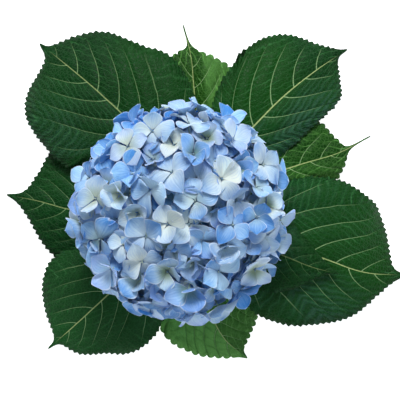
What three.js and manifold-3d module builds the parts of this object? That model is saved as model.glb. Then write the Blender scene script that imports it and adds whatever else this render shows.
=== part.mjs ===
// Cut hydrangea: a mophead bloom that lies face up on its own leaves, cut short beneath them.
// Millimetres, +Z up. The model is set out from the stem's axis, with z = 0 the surface that the
// leaf tips and the cut end of the stem rest on, and is then moved so that the origin is the
// bottom centre of its box.
import * as THREE from "three";
import { mergeVertices } from "three/addons/utils/BufferGeometryUtils.js";
import Module from "manifold-3d";

// ---- Driving dimensions --------------------------------------------------------------------
const touchGap = 0.35; // between pieces that touch in life

const stemRadius = 4.2;
const stemNodeSwell = 0.9; // how far the stem swells where leaves leave it
const swellLength = 4.8;
const lowestLevel = 9; // height on the stem of the lowest pair of leaves
const levelStep = 6.3; // from one pair of leaves to the next
const stemNeck = 7; // from the uppermost leaf to where the stem divides into rays

const petioleWidth = 4;
const petioleThickness = 3.6;
const bladeThickness = 0.9;
const veinLag = 0.42; // how far a side vein runs forward for each mm that it runs outward

const headRadius = 77; // from the stem's axis to the outermost floret centres
const headRise = 49; // from the head's widest level up to the topmost floret centres
const headFall = 36; // depth of the curve of the head's underside
const headClearance = 11; // from the uppermost leaf to the lowest floret centres
const lowestPolar = 112; // degrees from the top to the lowest floret centres

const cymeCount = 38;
const floretsPerCyme = 3;
const floretWidth = 27; // across the four sepals of a floret with room to open
const floretDepth = 3.2; // from a floret's throat to the level of its sepal tips
const floretSpacing = 20.4; // distance at which crowded florets stop pushing each other
const sepalEdge = 0.9; // thickness of the sepals' rim
const cymeOffset = 11; // of a floret from the middle of its cyme, before the florets crowd

const sideRays = 6; // round the one that rises in the middle
const rayPolar = 60; // degrees from the top to the side rays
const rayRadius = 1.15;
const rayRing = 3; // radius of the ring of rays on top of the stem
const rayRise = 7; // how far a ray heads straight up before it leans out
const rayReach = 0.44; // share of the way to the head's surface at which a ray ends in a knot
const knotRadius = 3.3;
const cymeReach = 0.7; // share of the way at which a cyme divides into pedicels
const branchRadius = 0.65;
const pedicelRadius = 0.7;

// One entry for each leaf, in plan: which level of the stem it leaves, counted from the lowest, its
// azimuth in degrees, the distances of the blade's base and tip from the stem's axis, the midrib's
// sideways offset at the base and the three quarter points, the height of the midrib at four even
// steps as shares of its level's, the largest half-width of the left and right half, and how far
// each margin droops. An outline point is [share of the midrib, share of the half-width], base first.
const leaves = [
  {
    name: "leaf_top_small",
    level: 0,
    azimuth: 89.5,
    base: 46,
    tip: 140.6,
    offsets: [-10.5, -11, -8.6, -6.1],
    rises: [1.05, 1.2, 1, 0],
    halves: [22, 33],
    droops: [3, 5],
    left: [[0.12, 0.55], [0.3, 0.9], [0.48, 1], [0.64, 0.95], [0.75, 0.76], [0.8, 0.4], [0.84, 0.06]],
    right: [[0.12, 0.6], [0.3, 0.97], [0.43, 1], [0.57, 0.97], [0.67, 0.74], [0.75, 0.3], [0.84, 0.05]],
  },
  {
    name: "leaf_bottom_small",
    level: 0,
    azimuth: -66,
    base: 44,
    tip: 121.9,
    offsets: [-12.8, -11.5, -11.5, -9.3],
    rises: [1.05, 1.2, 0.9, 0],
    halves: [31, 38.5],
    droops: [4, 4],
    left: [[0.1, 0.6], [0.3, 0.93], [0.5, 1], [0.68, 0.98], [0.83, 0.93], [0.89, 0.5], [0.93, 0.12]],
    right: [[0.1, 0.6], [0.22, 0.92], [0.38, 1], [0.55, 0.91], [0.68, 0.67], [0.8, 0.36], [0.92, 0.12]],
  },
  {
    name: "leaf_side_small",
    level: 1,
    azimuth: 21.6,
    base: 40.7,
    tip: 153.7,
    offsets: [4, 1.3, -0.6, -2.9],
    rises: [1.02, 1.05, 0.72, 0],
    halves: [34, 26],
    droops: [5, 3],
    left: [[0.1, 0.5], [0.25, 0.9], [0.42, 1], [0.58, 0.94], [0.71, 0.76], [0.78, 0.32], [0.83, 0.05]],
    right: [[0.1, 0.5], [0.25, 0.85], [0.42, 1], [0.56, 0.95], [0.68, 0.72], [0.76, 0.38], [0.84, 0.06]],
  },
  {
    name: "leaf_left",
    level: 1,
    azimuth: 174.7,
    base: 34.6,
    tip: 133,
    offsets: [4.7, 6.4, 6.4, 2.4],
    rises: [1.02, 1.05, 0.72, 0],
    halves: [42, 42],
    droops: [5, 5],
    left: [[0.1, 0.6], [0.25, 0.93], [0.38, 1], [0.52, 0.9], [0.68, 0.6], [0.79, 0.36], [0.9, 0.12]],
    right: [[0.1, 0.55], [0.3, 0.85], [0.5, 0.98], [0.64, 1], [0.74, 0.9], [0.79, 0.5], [0.87, 0.12]],
  },
  {
    name: "leaf_lower_left",
    level: 2,
    azimuth: -134.1,
    base: 40.7,
    tip: 145.1,
    offsets: [6.5, 5, 3.6, 2.1],
    rises: [1.02, 1.04, 0.66, 0],
    halves: [46.5, 48],
    droops: [6, 6],
    left: [[0.1, 0.5], [0.26, 0.9], [0.42, 1], [0.58, 0.93], [0.71, 0.67], [0.85, 0.4], [0.91, 0.08]],
    right: [[0.1, 0.5], [0.27, 0.8], [0.46, 0.97], [0.58, 0.98], [0.72, 0.8], [0.83, 0.48], [0.91, 0.08]],
  },
  {
    name: "leaf_upper_right",
    level: 2,
    azimuth: 44.3,
    base: 51.6,
    tip: 175,
    offsets: [6.2, 7.6, 8.1, 5.3],
    rises: [1.02, 1.04, 0.66, 0],
    halves: [44, 31],
    droops: [6, 6],
    left: [[0.1, 0.55], [0.25, 0.85], [0.45, 0.98], [0.62, 1], [0.76, 0.78], [0.86, 0.38], [0.95, 0.1]],
    right: [[0.08, 0.55], [0.2, 0.9], [0.4, 1], [0.6, 0.98], [0.79, 0.9], [0.86, 0.5], [0.92, 0.08]],
  },
  {
    name: "leaf_upper_left",
    level: 3,
    azimuth: 130.3,
    base: 42,
    tip: 165.8,
    offsets: [-4.3, -13.1, -10.8, -5.9],
    rises: [1.02, 1.04, 0.66, 0],
    halves: [58, 56],
    droops: [9, 8],
    left: [[0.1, 0.55], [0.27, 0.93], [0.43, 1], [0.62, 0.97], [0.78, 0.85], [0.87, 0.6], [0.91, 0.14]],
    right: [[0.08, 0.6], [0.2, 0.88], [0.36, 1], [0.55, 0.83], [0.74, 0.67], [0.85, 0.4], [0.94, 0.07]],
  },
  {
    name: "leaf_right",
    level: 3,
    azimuth: -15.8,
    base: 41.7,
    tip: 178.9,
    offsets: [0.1, -2.5, -4.9, -6.8],
    rises: [1.02, 1.04, 0.73, 0],
    halves: [58.7, 57],
    droops: [9, 9],
    left: [[0.08, 0.45], [0.22, 0.82], [0.44, 1], [0.62, 0.93], [0.78, 0.81], [0.86, 0.53], [0.91, 0.1]],
    right: [[0.1, 0.6], [0.22, 0.93], [0.36, 1], [0.54, 0.92], [0.71, 0.67], [0.83, 0.29], [0.92, 0.09]],
  },
  {
    name: "leaf_inner",
    level: 4,
    azimuth: -21.7,
    base: 48,
    tip: 125.6,
    offsets: [-2.6, -2.6, -2.6, -2.6],
    rises: [1.02, 1.04, 0.97, 0.83],
    halves: [28, 30],
    droops: [2, 2],
    left: [[0.1, 0.6], [0.25, 1], [0.4, 0.9], [0.53, 0.7], [0.68, 0.5], [0.81, 0.3], [0.93, 0.1]],
    right: [[0.1, 0.55], [0.25, 0.9], [0.4, 1], [0.52, 0.91], [0.65, 0.68], [0.76, 0.35], [0.89, 0.09]],
  },
];

// Florets whose places are known, in plan from the stem's axis. The rest find their own.
const placedFlorets = [
  [-9, -9], [6, -9], [11, 8], [13, 23], [29, 23], [25, 3], [-21, 15], [37, 51], [-20, 57], [54, -4],
  [-27, -35], [-49, -41], [27, -42], [53, -41], [6, -55], [-70, 25], [-60, 9], [73, -6], [-22, -68],
];

// ---- Materials -----------------------------------------------------------------------------
const darkLeaf = new THREE.MeshStandardMaterial({ color: 0x17451f, roughness: 0.42, metalness: 0 });
const youngLeaf = new THREE.MeshStandardMaterial({ color: 0x4f8a2c, roughness: 0.45, metalness: 0 });
const sepalBlue = new THREE.MeshStandardMaterial({ color: 0x8fb2e4, roughness: 0.6, metalness: 0 });
const stemGreen = new THREE.MeshStandardMaterial({ color: 0x6f8f4a, roughness: 0.55, metalness: 0 });

// ---- Small tools ---------------------------------------------------------------------------
const goldenAngle = Math.PI * (3 - Math.sqrt(5));
const radians = THREE.MathUtils.degToRad;

const wasm = await Module();
wasm.setup();

// A curve through all of its points, with an even step of the parameter from point to point.
function curveThrough(points) {
  return new THREE.CatmullRomCurve3(points, false, "catmullrom", 0.5);
}

// A closed mesh as a solid that can be joined to another.
function solidOf(geometry) {
  const bare = new THREE.BufferGeometry();
  bare.setAttribute("position", geometry.getAttribute("position"));
  bare.setIndex(geometry.index);
  const merged = mergeVertices(bare, 1e-4);
  return new wasm.Manifold(
    new wasm.Mesh({
      numProp: 3,
      vertProperties: merged.attributes.position.array,
      triVerts: new Uint32Array(merged.index.array),
    }),
  );
}

// Joins closed meshes that run into one another into one closed mesh.
function joined(geometries) {
  const solid = geometries.map(solidOf).reduce((whole, piece) => whole.add(piece));
  const mesh = solid.getMesh();
  const geometry = new THREE.BufferGeometry();
  geometry.setAttribute("position", new THREE.BufferAttribute(mesh.vertProperties, mesh.numProp));
  geometry.setIndex(new THREE.BufferAttribute(mesh.triVerts, 1));
  geometry.computeVertexNormals();
  return geometry;
}

// A round bar along a curve, with flat ends.
function bar(curve, radius, sides, steps) {
  const section = new THREE.Shape();
  for (let side = 0; side < sides; side += 1) {
    const turn = (side / sides) * Math.PI * 2;
    const corner = [radius * Math.cos(turn), radius * Math.sin(turn)];
    if (side === 0) section.moveTo(...corner);
    else section.lineTo(...corner);
  }
  section.closePath();
  return new THREE.ExtrudeGeometry(section, { extrudePath: curve, steps, curveSegments: 1 });
}

// A closed skin round rows of points: each row holds an upper and a lower point in each column.
function skin(rows) {
  const columns = rows[0].length;
  const positions = [];
  const faces = [];
  rows.forEach((row) => row.forEach(({ upper, lower }) => positions.push(...upper, ...lower)));
  const at = (row, column, under) => (row * columns + column) * 2 + under;
  const quad = (a, b, c, d) => faces.push(a, b, c, a, c, d);
  for (let r = 0; r + 1 < rows.length; r += 1) {
    for (let c = 0; c + 1 < columns; c += 1) {
      quad(at(r, c, 0), at(r, c + 1, 0), at(r + 1, c + 1, 0), at(r + 1, c, 0));
      quad(at(r, c, 1), at(r + 1, c, 1), at(r + 1, c + 1, 1), at(r, c + 1, 1));
    }
    quad(at(r, 0, 0), at(r + 1, 0, 0), at(r + 1, 0, 1), at(r, 0, 1));
    quad(at(r, columns - 1, 0), at(r, columns - 1, 1), at(r + 1, columns - 1, 1), at(r + 1, columns - 1, 0));
  }
  const last = rows.length - 1;
  for (let c = 0; c + 1 < columns; c += 1) {
    quad(at(0, c, 0), at(0, c, 1), at(0, c + 1, 1), at(0, c + 1, 0));
    quad(at(last, c, 0), at(last, c + 1, 0), at(last, c + 1, 1), at(last, c, 1));
  }
  const geometry = new THREE.BufferGeometry();
  geometry.setAttribute("position", new THREE.Float32BufferAttribute(positions, 3));
  geometry.setIndex(faces);
  geometry.computeVertexNormals();
  return geometry;
}

// ---- Leaves --------------------------------------------------------------------------------
const topLevel = Math.max(...leaves.map((leaf) => leaf.level));

function levelHeight(level) {
  return lowestLevel + level * levelStep;
}

// The midrib of the blade, with its height, from its base to its tip.
function midribOf(leaf) {
  const outward = new THREE.Vector2(Math.cos(radians(leaf.azimuth)), Math.sin(radians(leaf.azimuth)));
  const level = levelHeight(leaf.level);
  const heights = curveThrough(leaf.rises.map((share) => new THREE.Vector3(0, 0, share * level)));
  const points = [...leaf.offsets, 0].map((offset, quarter) => {
    const along = leaf.base + ((leaf.tip - leaf.base) * quarter) / leaf.offsets.length;
    const height = heights.getPoint(quarter / leaf.offsets.length).z + bladeThickness / 2;
    return new THREE.Vector3(
      outward.x * along - outward.y * offset,
      outward.y * along + outward.x * offset,
      height,
    );
  });
  return curveThrough(points);
}

// One half of a leaf's outline as a curve of (share of the midrib, distance from it).
function marginOf(outline, halfWidth) {
  const points = outline.map(([share, width]) => new THREE.Vector3(share, width * halfWidth, 0));
  const base = new THREE.Vector3(0, petioleWidth / 2, 0);
  const tip = new THREE.Vector3(1, 0.25, 0);
  return curveThrough([base, ...points, tip]);
}

// Where on the midrib the vein of each row starts: behind the places where it meets the margins.
function veinStarts(margins, length, rowCount) {
  const starts = [0];
  for (let row = 1; row <= rowCount; row += 1) {
    const ends = margins.map((margin) => margin.getPoint(row / rowCount));
    const lagging = ends.map((end) => end.x - (veinLag * end.y) / length);
    const start = row === rowCount ? 1 : (lagging[0] + lagging[1]) / 2;
    starts.push(Math.max(start, starts[row - 1] + 0.012));
  }
  return starts.map((start) => start / starts[rowCount]);
}

function leafGeometry(leaf) {
  const rowCount = 16;
  const petioleRows = 4;
  const halfColumns = 2;
  const midrib = midribOf(leaf);
  const length = leaf.tip - leaf.base;
  const margins = [marginOf(leaf.left, leaf.halves[0]), marginOf(leaf.right, leaf.halves[1])];
  const starts = veinStarts(margins, length, rowCount);
  const root = new THREE.Vector3(Math.cos(radians(leaf.azimuth)), Math.sin(radians(leaf.azimuth)), 0)
    .multiplyScalar(stemRadius + stemNodeSwell + touchGap)
    .setZ(levelHeight(leaf.level));
  const bladeBase = midrib.getPoint(0);

  // A point of the sheet: across runs from -1 at the right margin to 1 at the left one.
  const place = (ground, sideways, offset, height, thickness) => ({
    upper: [ground.x + sideways.x * offset, ground.y + sideways.y * offset, height + thickness / 2],
    lower: [ground.x + sideways.x * offset, ground.y + sideways.y * offset, height - thickness / 2],
  });
  const rows = [];
  for (let row = 0; row < petioleRows; row += 1) {
    const middle = root.clone().lerp(bladeBase, row / petioleRows);
    const run = row === 0 ? root : bladeBase.clone().sub(root);
    const sideways = new THREE.Vector3(-run.y, run.x, 0).normalize();
    const cells = [];
    for (let column = halfColumns; column >= -halfColumns; column -= 1) {
      const offset = (petioleWidth / 2) * (column / halfColumns);
      cells.push(place(middle, sideways, offset, middle.z, petioleThickness));
    }
    rows.push(cells);
  }
  for (let row = 0; row <= rowCount; row += 1) {
    const cells = [];
    const ends = margins.map((margin) => margin.getPoint(row / rowCount));
    const thickness = Math.max(bladeThickness, petioleThickness * (1 - row / 2.5));
    for (let column = halfColumns; column >= -halfColumns; column -= 1) {
      const side = column > 0 ? 0 : 1;
      const across = Math.abs(column) / halfColumns;
      const end = ends[side];
      const share = THREE.MathUtils.lerp(starts[row], end.x, across ** 1.5);
      const middle = midrib.getPoint(Math.min(share, 1));
      const run = midrib.getTangent(Math.min(share, 1));
      const sideways = new THREE.Vector3(-run.y, run.x, 0).normalize();
      const offset = Math.sign(column) * across * Math.max(end.y, 0.25);
      const droop = (leaf.droops[side] * across ** 2 * end.y) / leaf.halves[side];
      const height = Math.max(middle.z - droop, thickness / 2);
      cells.push(place(middle, sideways, offset, height, thickness));
    }
    rows.push(cells);
  }
  return skin(rows);
}

// ---- The head ------------------------------------------------------------------------------
const stemTop = levelHeight(topLevel) + stemNeck; // where the stem divides into rays
const lowestCosine = Math.cos(radians(lowestPolar));
const headLevel = levelHeight(topLevel) + headClearance - lowestCosine * headFall; // its widest level

// A place on the head's surface is a direction: a unit vector that the half-axes stretch.
function headPoint(direction) {
  const rise = direction.z > 0 ? headRise : headFall;
  return new THREE.Vector3(
    direction.x * headRadius,
    direction.y * headRadius,
    headLevel + direction.z * rise,
  );
}

function headDirection(point) {
  const rise = point.z > headLevel ? headRise : headFall;
  const direction = new THREE.Vector3(
    point.x / headRadius,
    point.y / headRadius,
    (point.z - headLevel) / rise,
  ).normalize();
  if (direction.z < lowestCosine) {
    const ring = Math.sqrt(1 - lowestCosine ** 2) / Math.hypot(direction.x, direction.y);
    direction.set(direction.x * ring, direction.y * ring, lowestCosine);
  }
  return direction;
}

function headNormal(direction) {
  const rise = direction.z > 0 ? headRise : headFall;
  return new THREE.Vector3(
    direction.x / headRadius,
    direction.y / headRadius,
    direction.z / rise,
  ).normalize();
}

// Two directions square to a normal.
function acrossOf(normal) {
  const pole = Math.abs(normal.z) > 0.9 ? new THREE.Vector3(1, 0, 0) : new THREE.Vector3(0, 0, 1);
  const first = new THREE.Vector3().crossVectors(pole, normal).normalize();
  return [first, new THREE.Vector3().crossVectors(normal, first)];
}

// Directions spread evenly from the top down to a polar angle.
function evenDirections(count, polar) {
  const depth = 1 - Math.cos(radians(polar));
  return Array.from({ length: count }, (_, index) => {
    const z = 1 - (depth * (index + 0.5)) / count;
    const ring = Math.sqrt(1 - z * z);
    const turn = index * goldenAngle;
    return new THREE.Vector3(ring * Math.cos(turn), ring * Math.sin(turn), z);
  });
}

// The florets of every cyme, before they crowd one another.
function looseFlorets(cymes) {
  const florets = [];
  cymes.forEach((direction, cyme) => {
    const [first, second] = acrossOf(headNormal(direction));
    for (let index = 0; index < floretsPerCyme; index += 1) {
      const turn = (index / floretsPerCyme) * Math.PI * 2 + cyme * goldenAngle;
      const point = headPoint(direction)
        .addScaledVector(first, cymeOffset * Math.cos(turn))
        .addScaledVector(second, cymeOffset * Math.sin(turn));
      florets.push({ cyme, placed: false, direction: headDirection(point) });
    }
  });
  return florets;
}

// Moves the nearest floret to each known place.
function placeKnown(florets) {
  placedFlorets.forEach(([x, y]) => {
    const reach = Math.min(Math.hypot(x, y) / headRadius, 0.995);
    const turn = Math.atan2(y, x);
    const target = new THREE.Vector3(
      reach * Math.cos(turn),
      reach * Math.sin(turn),
      Math.sqrt(1 - reach * reach),
    );
    const free = florets.filter((floret) => !floret.placed);
    const nearest = free.reduce((best, floret) =>
      floret.direction.distanceTo(target) < best.direction.distanceTo(target) ? floret : best,
    );
    nearest.direction = target;
    nearest.placed = true;
  });
}

// Lets the florets push one another apart over the head's surface.
function crowd(florets, rounds) {
  for (let round = 0; round < rounds; round += 1) {
    const points = florets.map((floret) => headPoint(floret.direction));
    const pushes = florets.map(() => new THREE.Vector3());
    for (let a = 0; a < florets.length; a += 1) {
      for (let b = a + 1; b < florets.length; b += 1) {
        const between = points[a].clone().sub(points[b]);
        const distance = between.length();
        if (distance < floretSpacing && distance > 0) {
          between.multiplyScalar((floretSpacing - distance) / distance / 2);
          pushes[a].add(between);
          pushes[b].sub(between);
        }
      }
    }
    florets.forEach((floret, index) => {
      if (floret.placed) return;
      floret.direction = headDirection(points[index].addScaledVector(pushes[index], 0.6));
    });
  }
}

// How far a floret's sepals can open before they meet the nearest floret's.
function roomFor(index, points) {
  const distances = points.map((point, other) =>
    other === index ? Infinity : point.distanceTo(points[index]),
  );
  return Math.min(floretWidth, Math.min(...distances) - touchGap) / 2;
}

// A floret: four sepals that open in a shallow cup, on the end of a pedicel.
function floretGeometry(point, normal, turn, radius) {
  const sepals = 4;
  const cup = new THREE.LatheGeometry(
    [
      new THREE.Vector2(0, -2.4),
      new THREE.Vector2(radius, floretDepth - sepalEdge),
      new THREE.Vector2(radius * 0.97, floretDepth),
      new THREE.Vector2(0, 0.2),
    ],
    sepals * 2,
  );
  const positions = cup.getAttribute("position");
  const notch = 0.84; // the rim's radius between two sepals, as a share
  for (let index = 0; index < positions.count; index += 1) {
    const x = positions.getX(index);
    const z = positions.getZ(index);
    const lobe = Math.round((Math.atan2(x, z) / Math.PI) * sepals) % 2 === 0 ? 1 : notch;
    positions.setX(index, x * lobe);
    positions.setZ(index, z * lobe);
  }
  cup.rotateX(Math.PI / 2);
  cup.rotateZ(turn);
  const facing = new THREE.Quaternion().setFromUnitVectors(new THREE.Vector3(0, 0, 1), normal);
  cup.applyQuaternion(facing);
  cup.translate(point.x, point.y, point.z);
  return cup;
}

// A cyme: its branch from the ray's knot, its pedicels and its florets, as one grown piece.
function cymeGeometry(cyme, knot, florets, points) {
  const hub = new THREE.Vector3(0, 0, stemTop);
  const fork = hub.clone().lerp(headPoint(cyme), cymeReach);
  const heading = fork.clone().sub(knot).normalize();
  const start = knot.clone().addScaledVector(heading, knotRadius + touchGap);
  const knuckle = new THREE.OctahedronGeometry(branchRadius * 2);
  knuckle.translate(fork.x, fork.y, fork.z);
  const pieces = [knuckle, bar(new THREE.LineCurve3(start, fork), branchRadius, 4, 1)];
  florets.forEach((floret) => {
    const point = points[floret.index];
    const normal = headNormal(floret.direction);
    const throat = point.clone().addScaledVector(normal, -1.2);
    pieces.push(bar(new THREE.LineCurve3(fork, throat), pedicelRadius, 3, 1));
    const turn = floret.index * goldenAngle;
    pieces.push(floretGeometry(point, normal, turn, roomFor(floret.index, points)));
  });
  return joined(pieces);
}

// ---- Rays and stem -------------------------------------------------------------------------
function rayDirections() {
  const side = (index) => {
    const turn = (index / sideRays) * Math.PI * 2;
    const ring = Math.sin(radians(rayPolar));
    return new THREE.Vector3(ring * Math.cos(turn), ring * Math.sin(turn), Math.cos(radians(rayPolar)));
  };
  return [new THREE.Vector3(0, 0, 1), ...Array.from({ length: sideRays }, (_, index) => side(index))];
}

function knotOf(ray) {
  return new THREE.Vector3(0, 0, stemTop).lerp(headPoint(ray), rayReach);
}

function rayGeometry(ray, index) {
  const knot = knotOf(ray);
  const turn = Math.atan2(ray.y, ray.x);
  const ring = index === 0 ? 0 : rayRing;
  const foot = new THREE.Vector3(ring * Math.cos(turn), ring * Math.sin(turn), stemTop + touchGap);
  const bend = foot.clone().setZ(stemTop + rayRise);
  const path = new THREE.QuadraticBezierCurve3(foot, bend, knot);
  const knob = new THREE.IcosahedronGeometry(knotRadius, 0);
  knob.translate(knot.x, knot.y, knot.z);
  return joined([bar(path, rayRadius, 5, 4), knob]);
}

function stemGeometry() {
  const profile = [new THREE.Vector2(0, 0), new THREE.Vector2(stemRadius, 0)];
  for (let level = 0; level <= topLevel; level += 1) {
    const height = levelHeight(level);
    profile.push(new THREE.Vector2(stemRadius, height - swellLength / 2));
    profile.push(new THREE.Vector2(stemRadius + stemNodeSwell, height - swellLength / 6));
    profile.push(new THREE.Vector2(stemRadius + stemNodeSwell, height + swellLength / 6));
    profile.push(new THREE.Vector2(stemRadius, height + swellLength / 2));
  }
  profile.push(new THREE.Vector2(stemRadius + stemNodeSwell, stemTop));
  profile.push(new THREE.Vector2(0, stemTop));
  return new THREE.LatheGeometry(profile, 12).rotateX(Math.PI / 2);
}

// ---- Assembly ------------------------------------------------------------------------------
function named(name, geometry, material) {
  const mesh = new THREE.Mesh(geometry, material);
  mesh.name = name;
  return mesh;
}

function buildLeaves() {
  const group = new THREE.Group();
  leaves.forEach((leaf) => {
    const material = leaf.name.endsWith("_small") ? youngLeaf : darkLeaf;
    group.add(named(leaf.name, leafGeometry(leaf), material));
  });
  return group;
}

function buildHead() {
  const group = new THREE.Group();
  const rays = rayDirections();
  const cymes = evenDirections(cymeCount, lowestPolar - 6);
  const florets = looseFlorets(cymes);
  placeKnown(florets);
  crowd(florets, 40);
  florets.forEach((floret, index) => {
    floret.index = index;
  });
  const points = florets.map((floret) => headPoint(floret.direction));
  rays.forEach((ray, index) => {
    group.add(named(`ray_${index + 1}`, rayGeometry(ray, index), stemGreen));
  });
  cymes.forEach((cyme, number) => {
    const ray = rays.reduce((best, other) =>
      other.distanceTo(cyme) < best.distanceTo(cyme) ? other : best,
    );
    const own = florets.filter((floret) => floret.cyme === number);
    const geometry = cymeGeometry(cyme, knotOf(ray), own, points);
    group.add(named(`cyme_${String(number + 1).padStart(2, "0")}`, geometry, sepalBlue));
  });
  return group;
}

const flower = new THREE.Group();
flower.add(named("stem", stemGeometry(), stemGreen));
flower.add(buildLeaves());
flower.add(buildHead());

const box = new THREE.Box3().setFromObject(flower, true);
const middle = box.getCenter(new THREE.Vector3());
flower.position.set(-middle.x, -middle.y, -box.min.z);

const hydrangea = new THREE.Group();
hydrangea.add(flower);

export default hydrangea;
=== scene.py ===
"""The looks of a cut mophead hydrangea that lies face up on its own leaves.

Sizes in the classes are millimetres from the stem's axis and from the surface that the flower
rests on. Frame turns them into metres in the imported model's frame.
"""

import logging
import math
import random
from dataclasses import dataclass
from enum import Enum
from typing import Any, Iterable, Sequence

import bmesh
import bpy
from mathutils import Matrix, Vector, noise


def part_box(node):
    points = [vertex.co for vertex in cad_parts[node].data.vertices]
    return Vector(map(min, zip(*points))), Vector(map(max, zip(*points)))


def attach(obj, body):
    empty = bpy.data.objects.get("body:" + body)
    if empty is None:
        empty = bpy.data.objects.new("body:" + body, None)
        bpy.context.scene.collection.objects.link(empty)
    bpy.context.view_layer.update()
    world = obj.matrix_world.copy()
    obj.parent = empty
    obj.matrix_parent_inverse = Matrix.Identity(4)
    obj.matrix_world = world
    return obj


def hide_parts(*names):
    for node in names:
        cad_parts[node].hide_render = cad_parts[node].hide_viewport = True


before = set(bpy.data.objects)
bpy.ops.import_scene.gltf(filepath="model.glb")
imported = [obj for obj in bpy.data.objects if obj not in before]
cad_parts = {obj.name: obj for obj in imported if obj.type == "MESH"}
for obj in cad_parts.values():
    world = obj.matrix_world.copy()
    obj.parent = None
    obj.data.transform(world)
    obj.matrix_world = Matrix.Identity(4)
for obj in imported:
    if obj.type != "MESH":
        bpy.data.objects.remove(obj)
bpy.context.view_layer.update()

log = logging.getLogger("hydrangea")

MM = 0.001
GOLDEN_ANGLE = math.pi * (3 - math.sqrt(5))
UP = Vector((0, 0, 1))

Colour = tuple[float, float, float, float]
Pair = tuple[float, float]


# ---- Curves and small sums ------------------------------------------------------------------
def through(points: Sequence[Sequence[float]], share: float) -> Vector:
    """Gives the point at a share of a curve that passes evenly through its points.

    Args:
        points: the points, each with as many numbers as the others.
        share: how far along, from 0 to 1.

    Returns:
        The point, of the same size as the points.
    """
    last = len(points) - 1
    place = held(share) * last
    index = min(int(place), last - 1)
    part = place - index
    middle = Vector(points[index]), Vector(points[index + 1])
    before = Vector(points[index - 1]) if index > 0 else 2 * middle[0] - middle[1]
    after = Vector(points[index + 2]) if index + 2 <= last else 2 * middle[1] - middle[0]
    rise = (middle[1] - before) / 2
    fall = (after - middle[0]) / 2
    change = middle[1] - middle[0]
    bend = 3 * change - 2 * rise - fall
    twist = rise + fall - 2 * change
    return middle[0] + rise * part + bend * part**2 + twist * part**3


def held(value: float) -> float:
    """Holds a value between 0 and 1."""
    return min(max(value, 0.0), 1.0)


def smooth(low: float, high: float, value: float) -> float:
    """Eases from 0 below low to 1 above high."""
    part = held((value - low) / (high - low))
    return part * part * (3 - 2 * part)


def mixed(first: float, second: float, share: float) -> float:
    """Gives the number a share of the way from first to second."""
    return first + (second - first) * share


def on_ring(radius: float, turn: float, height: float = 0.0) -> Vector:
    """Gives the place at a turn round the upright axis."""
    return Vector((radius * math.cos(turn), radius * math.sin(turn), height))


def across_of(normal: Vector) -> tuple[Vector, Vector]:
    """Gives two directions square to a normal and to each other.

    Args:
        normal: a direction of length 1.

    Returns:
        The two directions.
    """
    pole = Vector((1, 0, 0)) if abs(normal.z) > 0.9 else Vector((0, 0, 1))
    first = pole.cross(normal).normalized()
    return first, normal.cross(first)


def aside(normal: Vector, turn: float) -> Vector:
    """Gives the direction square to a normal at a turn round it."""
    first, second = across_of(normal)
    return first * math.cos(turn) + second * math.sin(turn)


def arc(low: Vector, bend: Vector, high: Vector, steps: int) -> list[Vector]:
    """Gives a curve that leaves low towards bend and reaches high from it.

    Args:
        low: its start.
        bend: the point that draws it aside.
        high: its end.
        steps: how many even steps it has.

    Returns:
        Its points.
    """
    shares = [step / steps for step in range(steps + 1)]
    return [low.lerp(bend, share).lerp(bend.lerp(high, share), share) for share in shares]


class Frame:
    """Turns millimetres from the stem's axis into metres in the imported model's frame."""

    def __init__(self) -> None:
        """Finds the stem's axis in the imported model."""
        low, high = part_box("stem")
        self.axis = Vector(((low.x + high.x) / 2, (low.y + high.y) / 2, low.z))

    def place(self, point: Vector) -> Vector:
        """Gives a point's place in the frame, in metres."""
        return self.axis + Vector(point) * MM


# ---- Materials ------------------------------------------------------------------------------
class Signal:
    """A number that varies over a surface. Arithmetic on it adds Math nodes."""

    def __init__(self, paint: "Paint", socket: bpy.types.NodeSocket) -> None:
        """Wraps an output socket of a paint's nodes."""
        self.paint = paint
        self.socket = socket

    def math(self, operation: str, *others: Any) -> "Signal":
        """Adds a Math node with this signal as its first value."""
        values = dict(enumerate([self, *others]))
        return self.paint.signal("ShaderNodeMath", {"operation": operation}, values)

    def __add__(self, other: Any) -> "Signal":
        """Adds."""
        return self.math("ADD", other)

    __radd__ = __add__

    def __sub__(self, other: Any) -> "Signal":
        """Subtracts."""
        return self.math("SUBTRACT", other)

    def __rsub__(self, other: Any) -> "Signal":
        """Subtracts this from another."""
        return (self * -1.0).math("ADD", other)

    def __mul__(self, other: Any) -> "Signal":
        """Multiplies."""
        return self.math("MULTIPLY", other)

    __rmul__ = __mul__

    def __truediv__(self, other: Any) -> "Signal":
        """Divides."""
        return self.math("DIVIDE", other)

    def fract(self) -> "Signal":
        """Gives the part after the point."""
        return self.math("FRACT")

    def floor(self) -> "Signal":
        """Gives the whole part."""
        return self.math("FLOOR")

    def size(self) -> "Signal":
        """Gives the number without its sign."""
        return self.math("ABSOLUTE")

    def at_most(self, other: Any) -> "Signal":
        """Gives the lesser of two."""
        return self.math("MINIMUM", other)

    def at_least(self, other: Any) -> "Signal":
        """Gives the greater of two."""
        return self.math("MAXIMUM", other)

    def eased(self, low: Any, high: Any, start: float = 0.0, end: float = 1.0) -> "Signal":
        """Eases from start to end.

        Args:
            low: the signal's value at the start.
            high: the signal's value at the end.
            start: what is given at low and beyond.
            end: what is given at high and beyond.

        Returns:
            The eased signal.
        """
        settings = {"interpolation_type": "SMOOTHSTEP"}
        values = {"Value": self, "From Min": low, "From Max": high, "To Min": start, "To Max": end}
        return self.paint.signal("ShaderNodeMapRange", settings, values)


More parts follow.
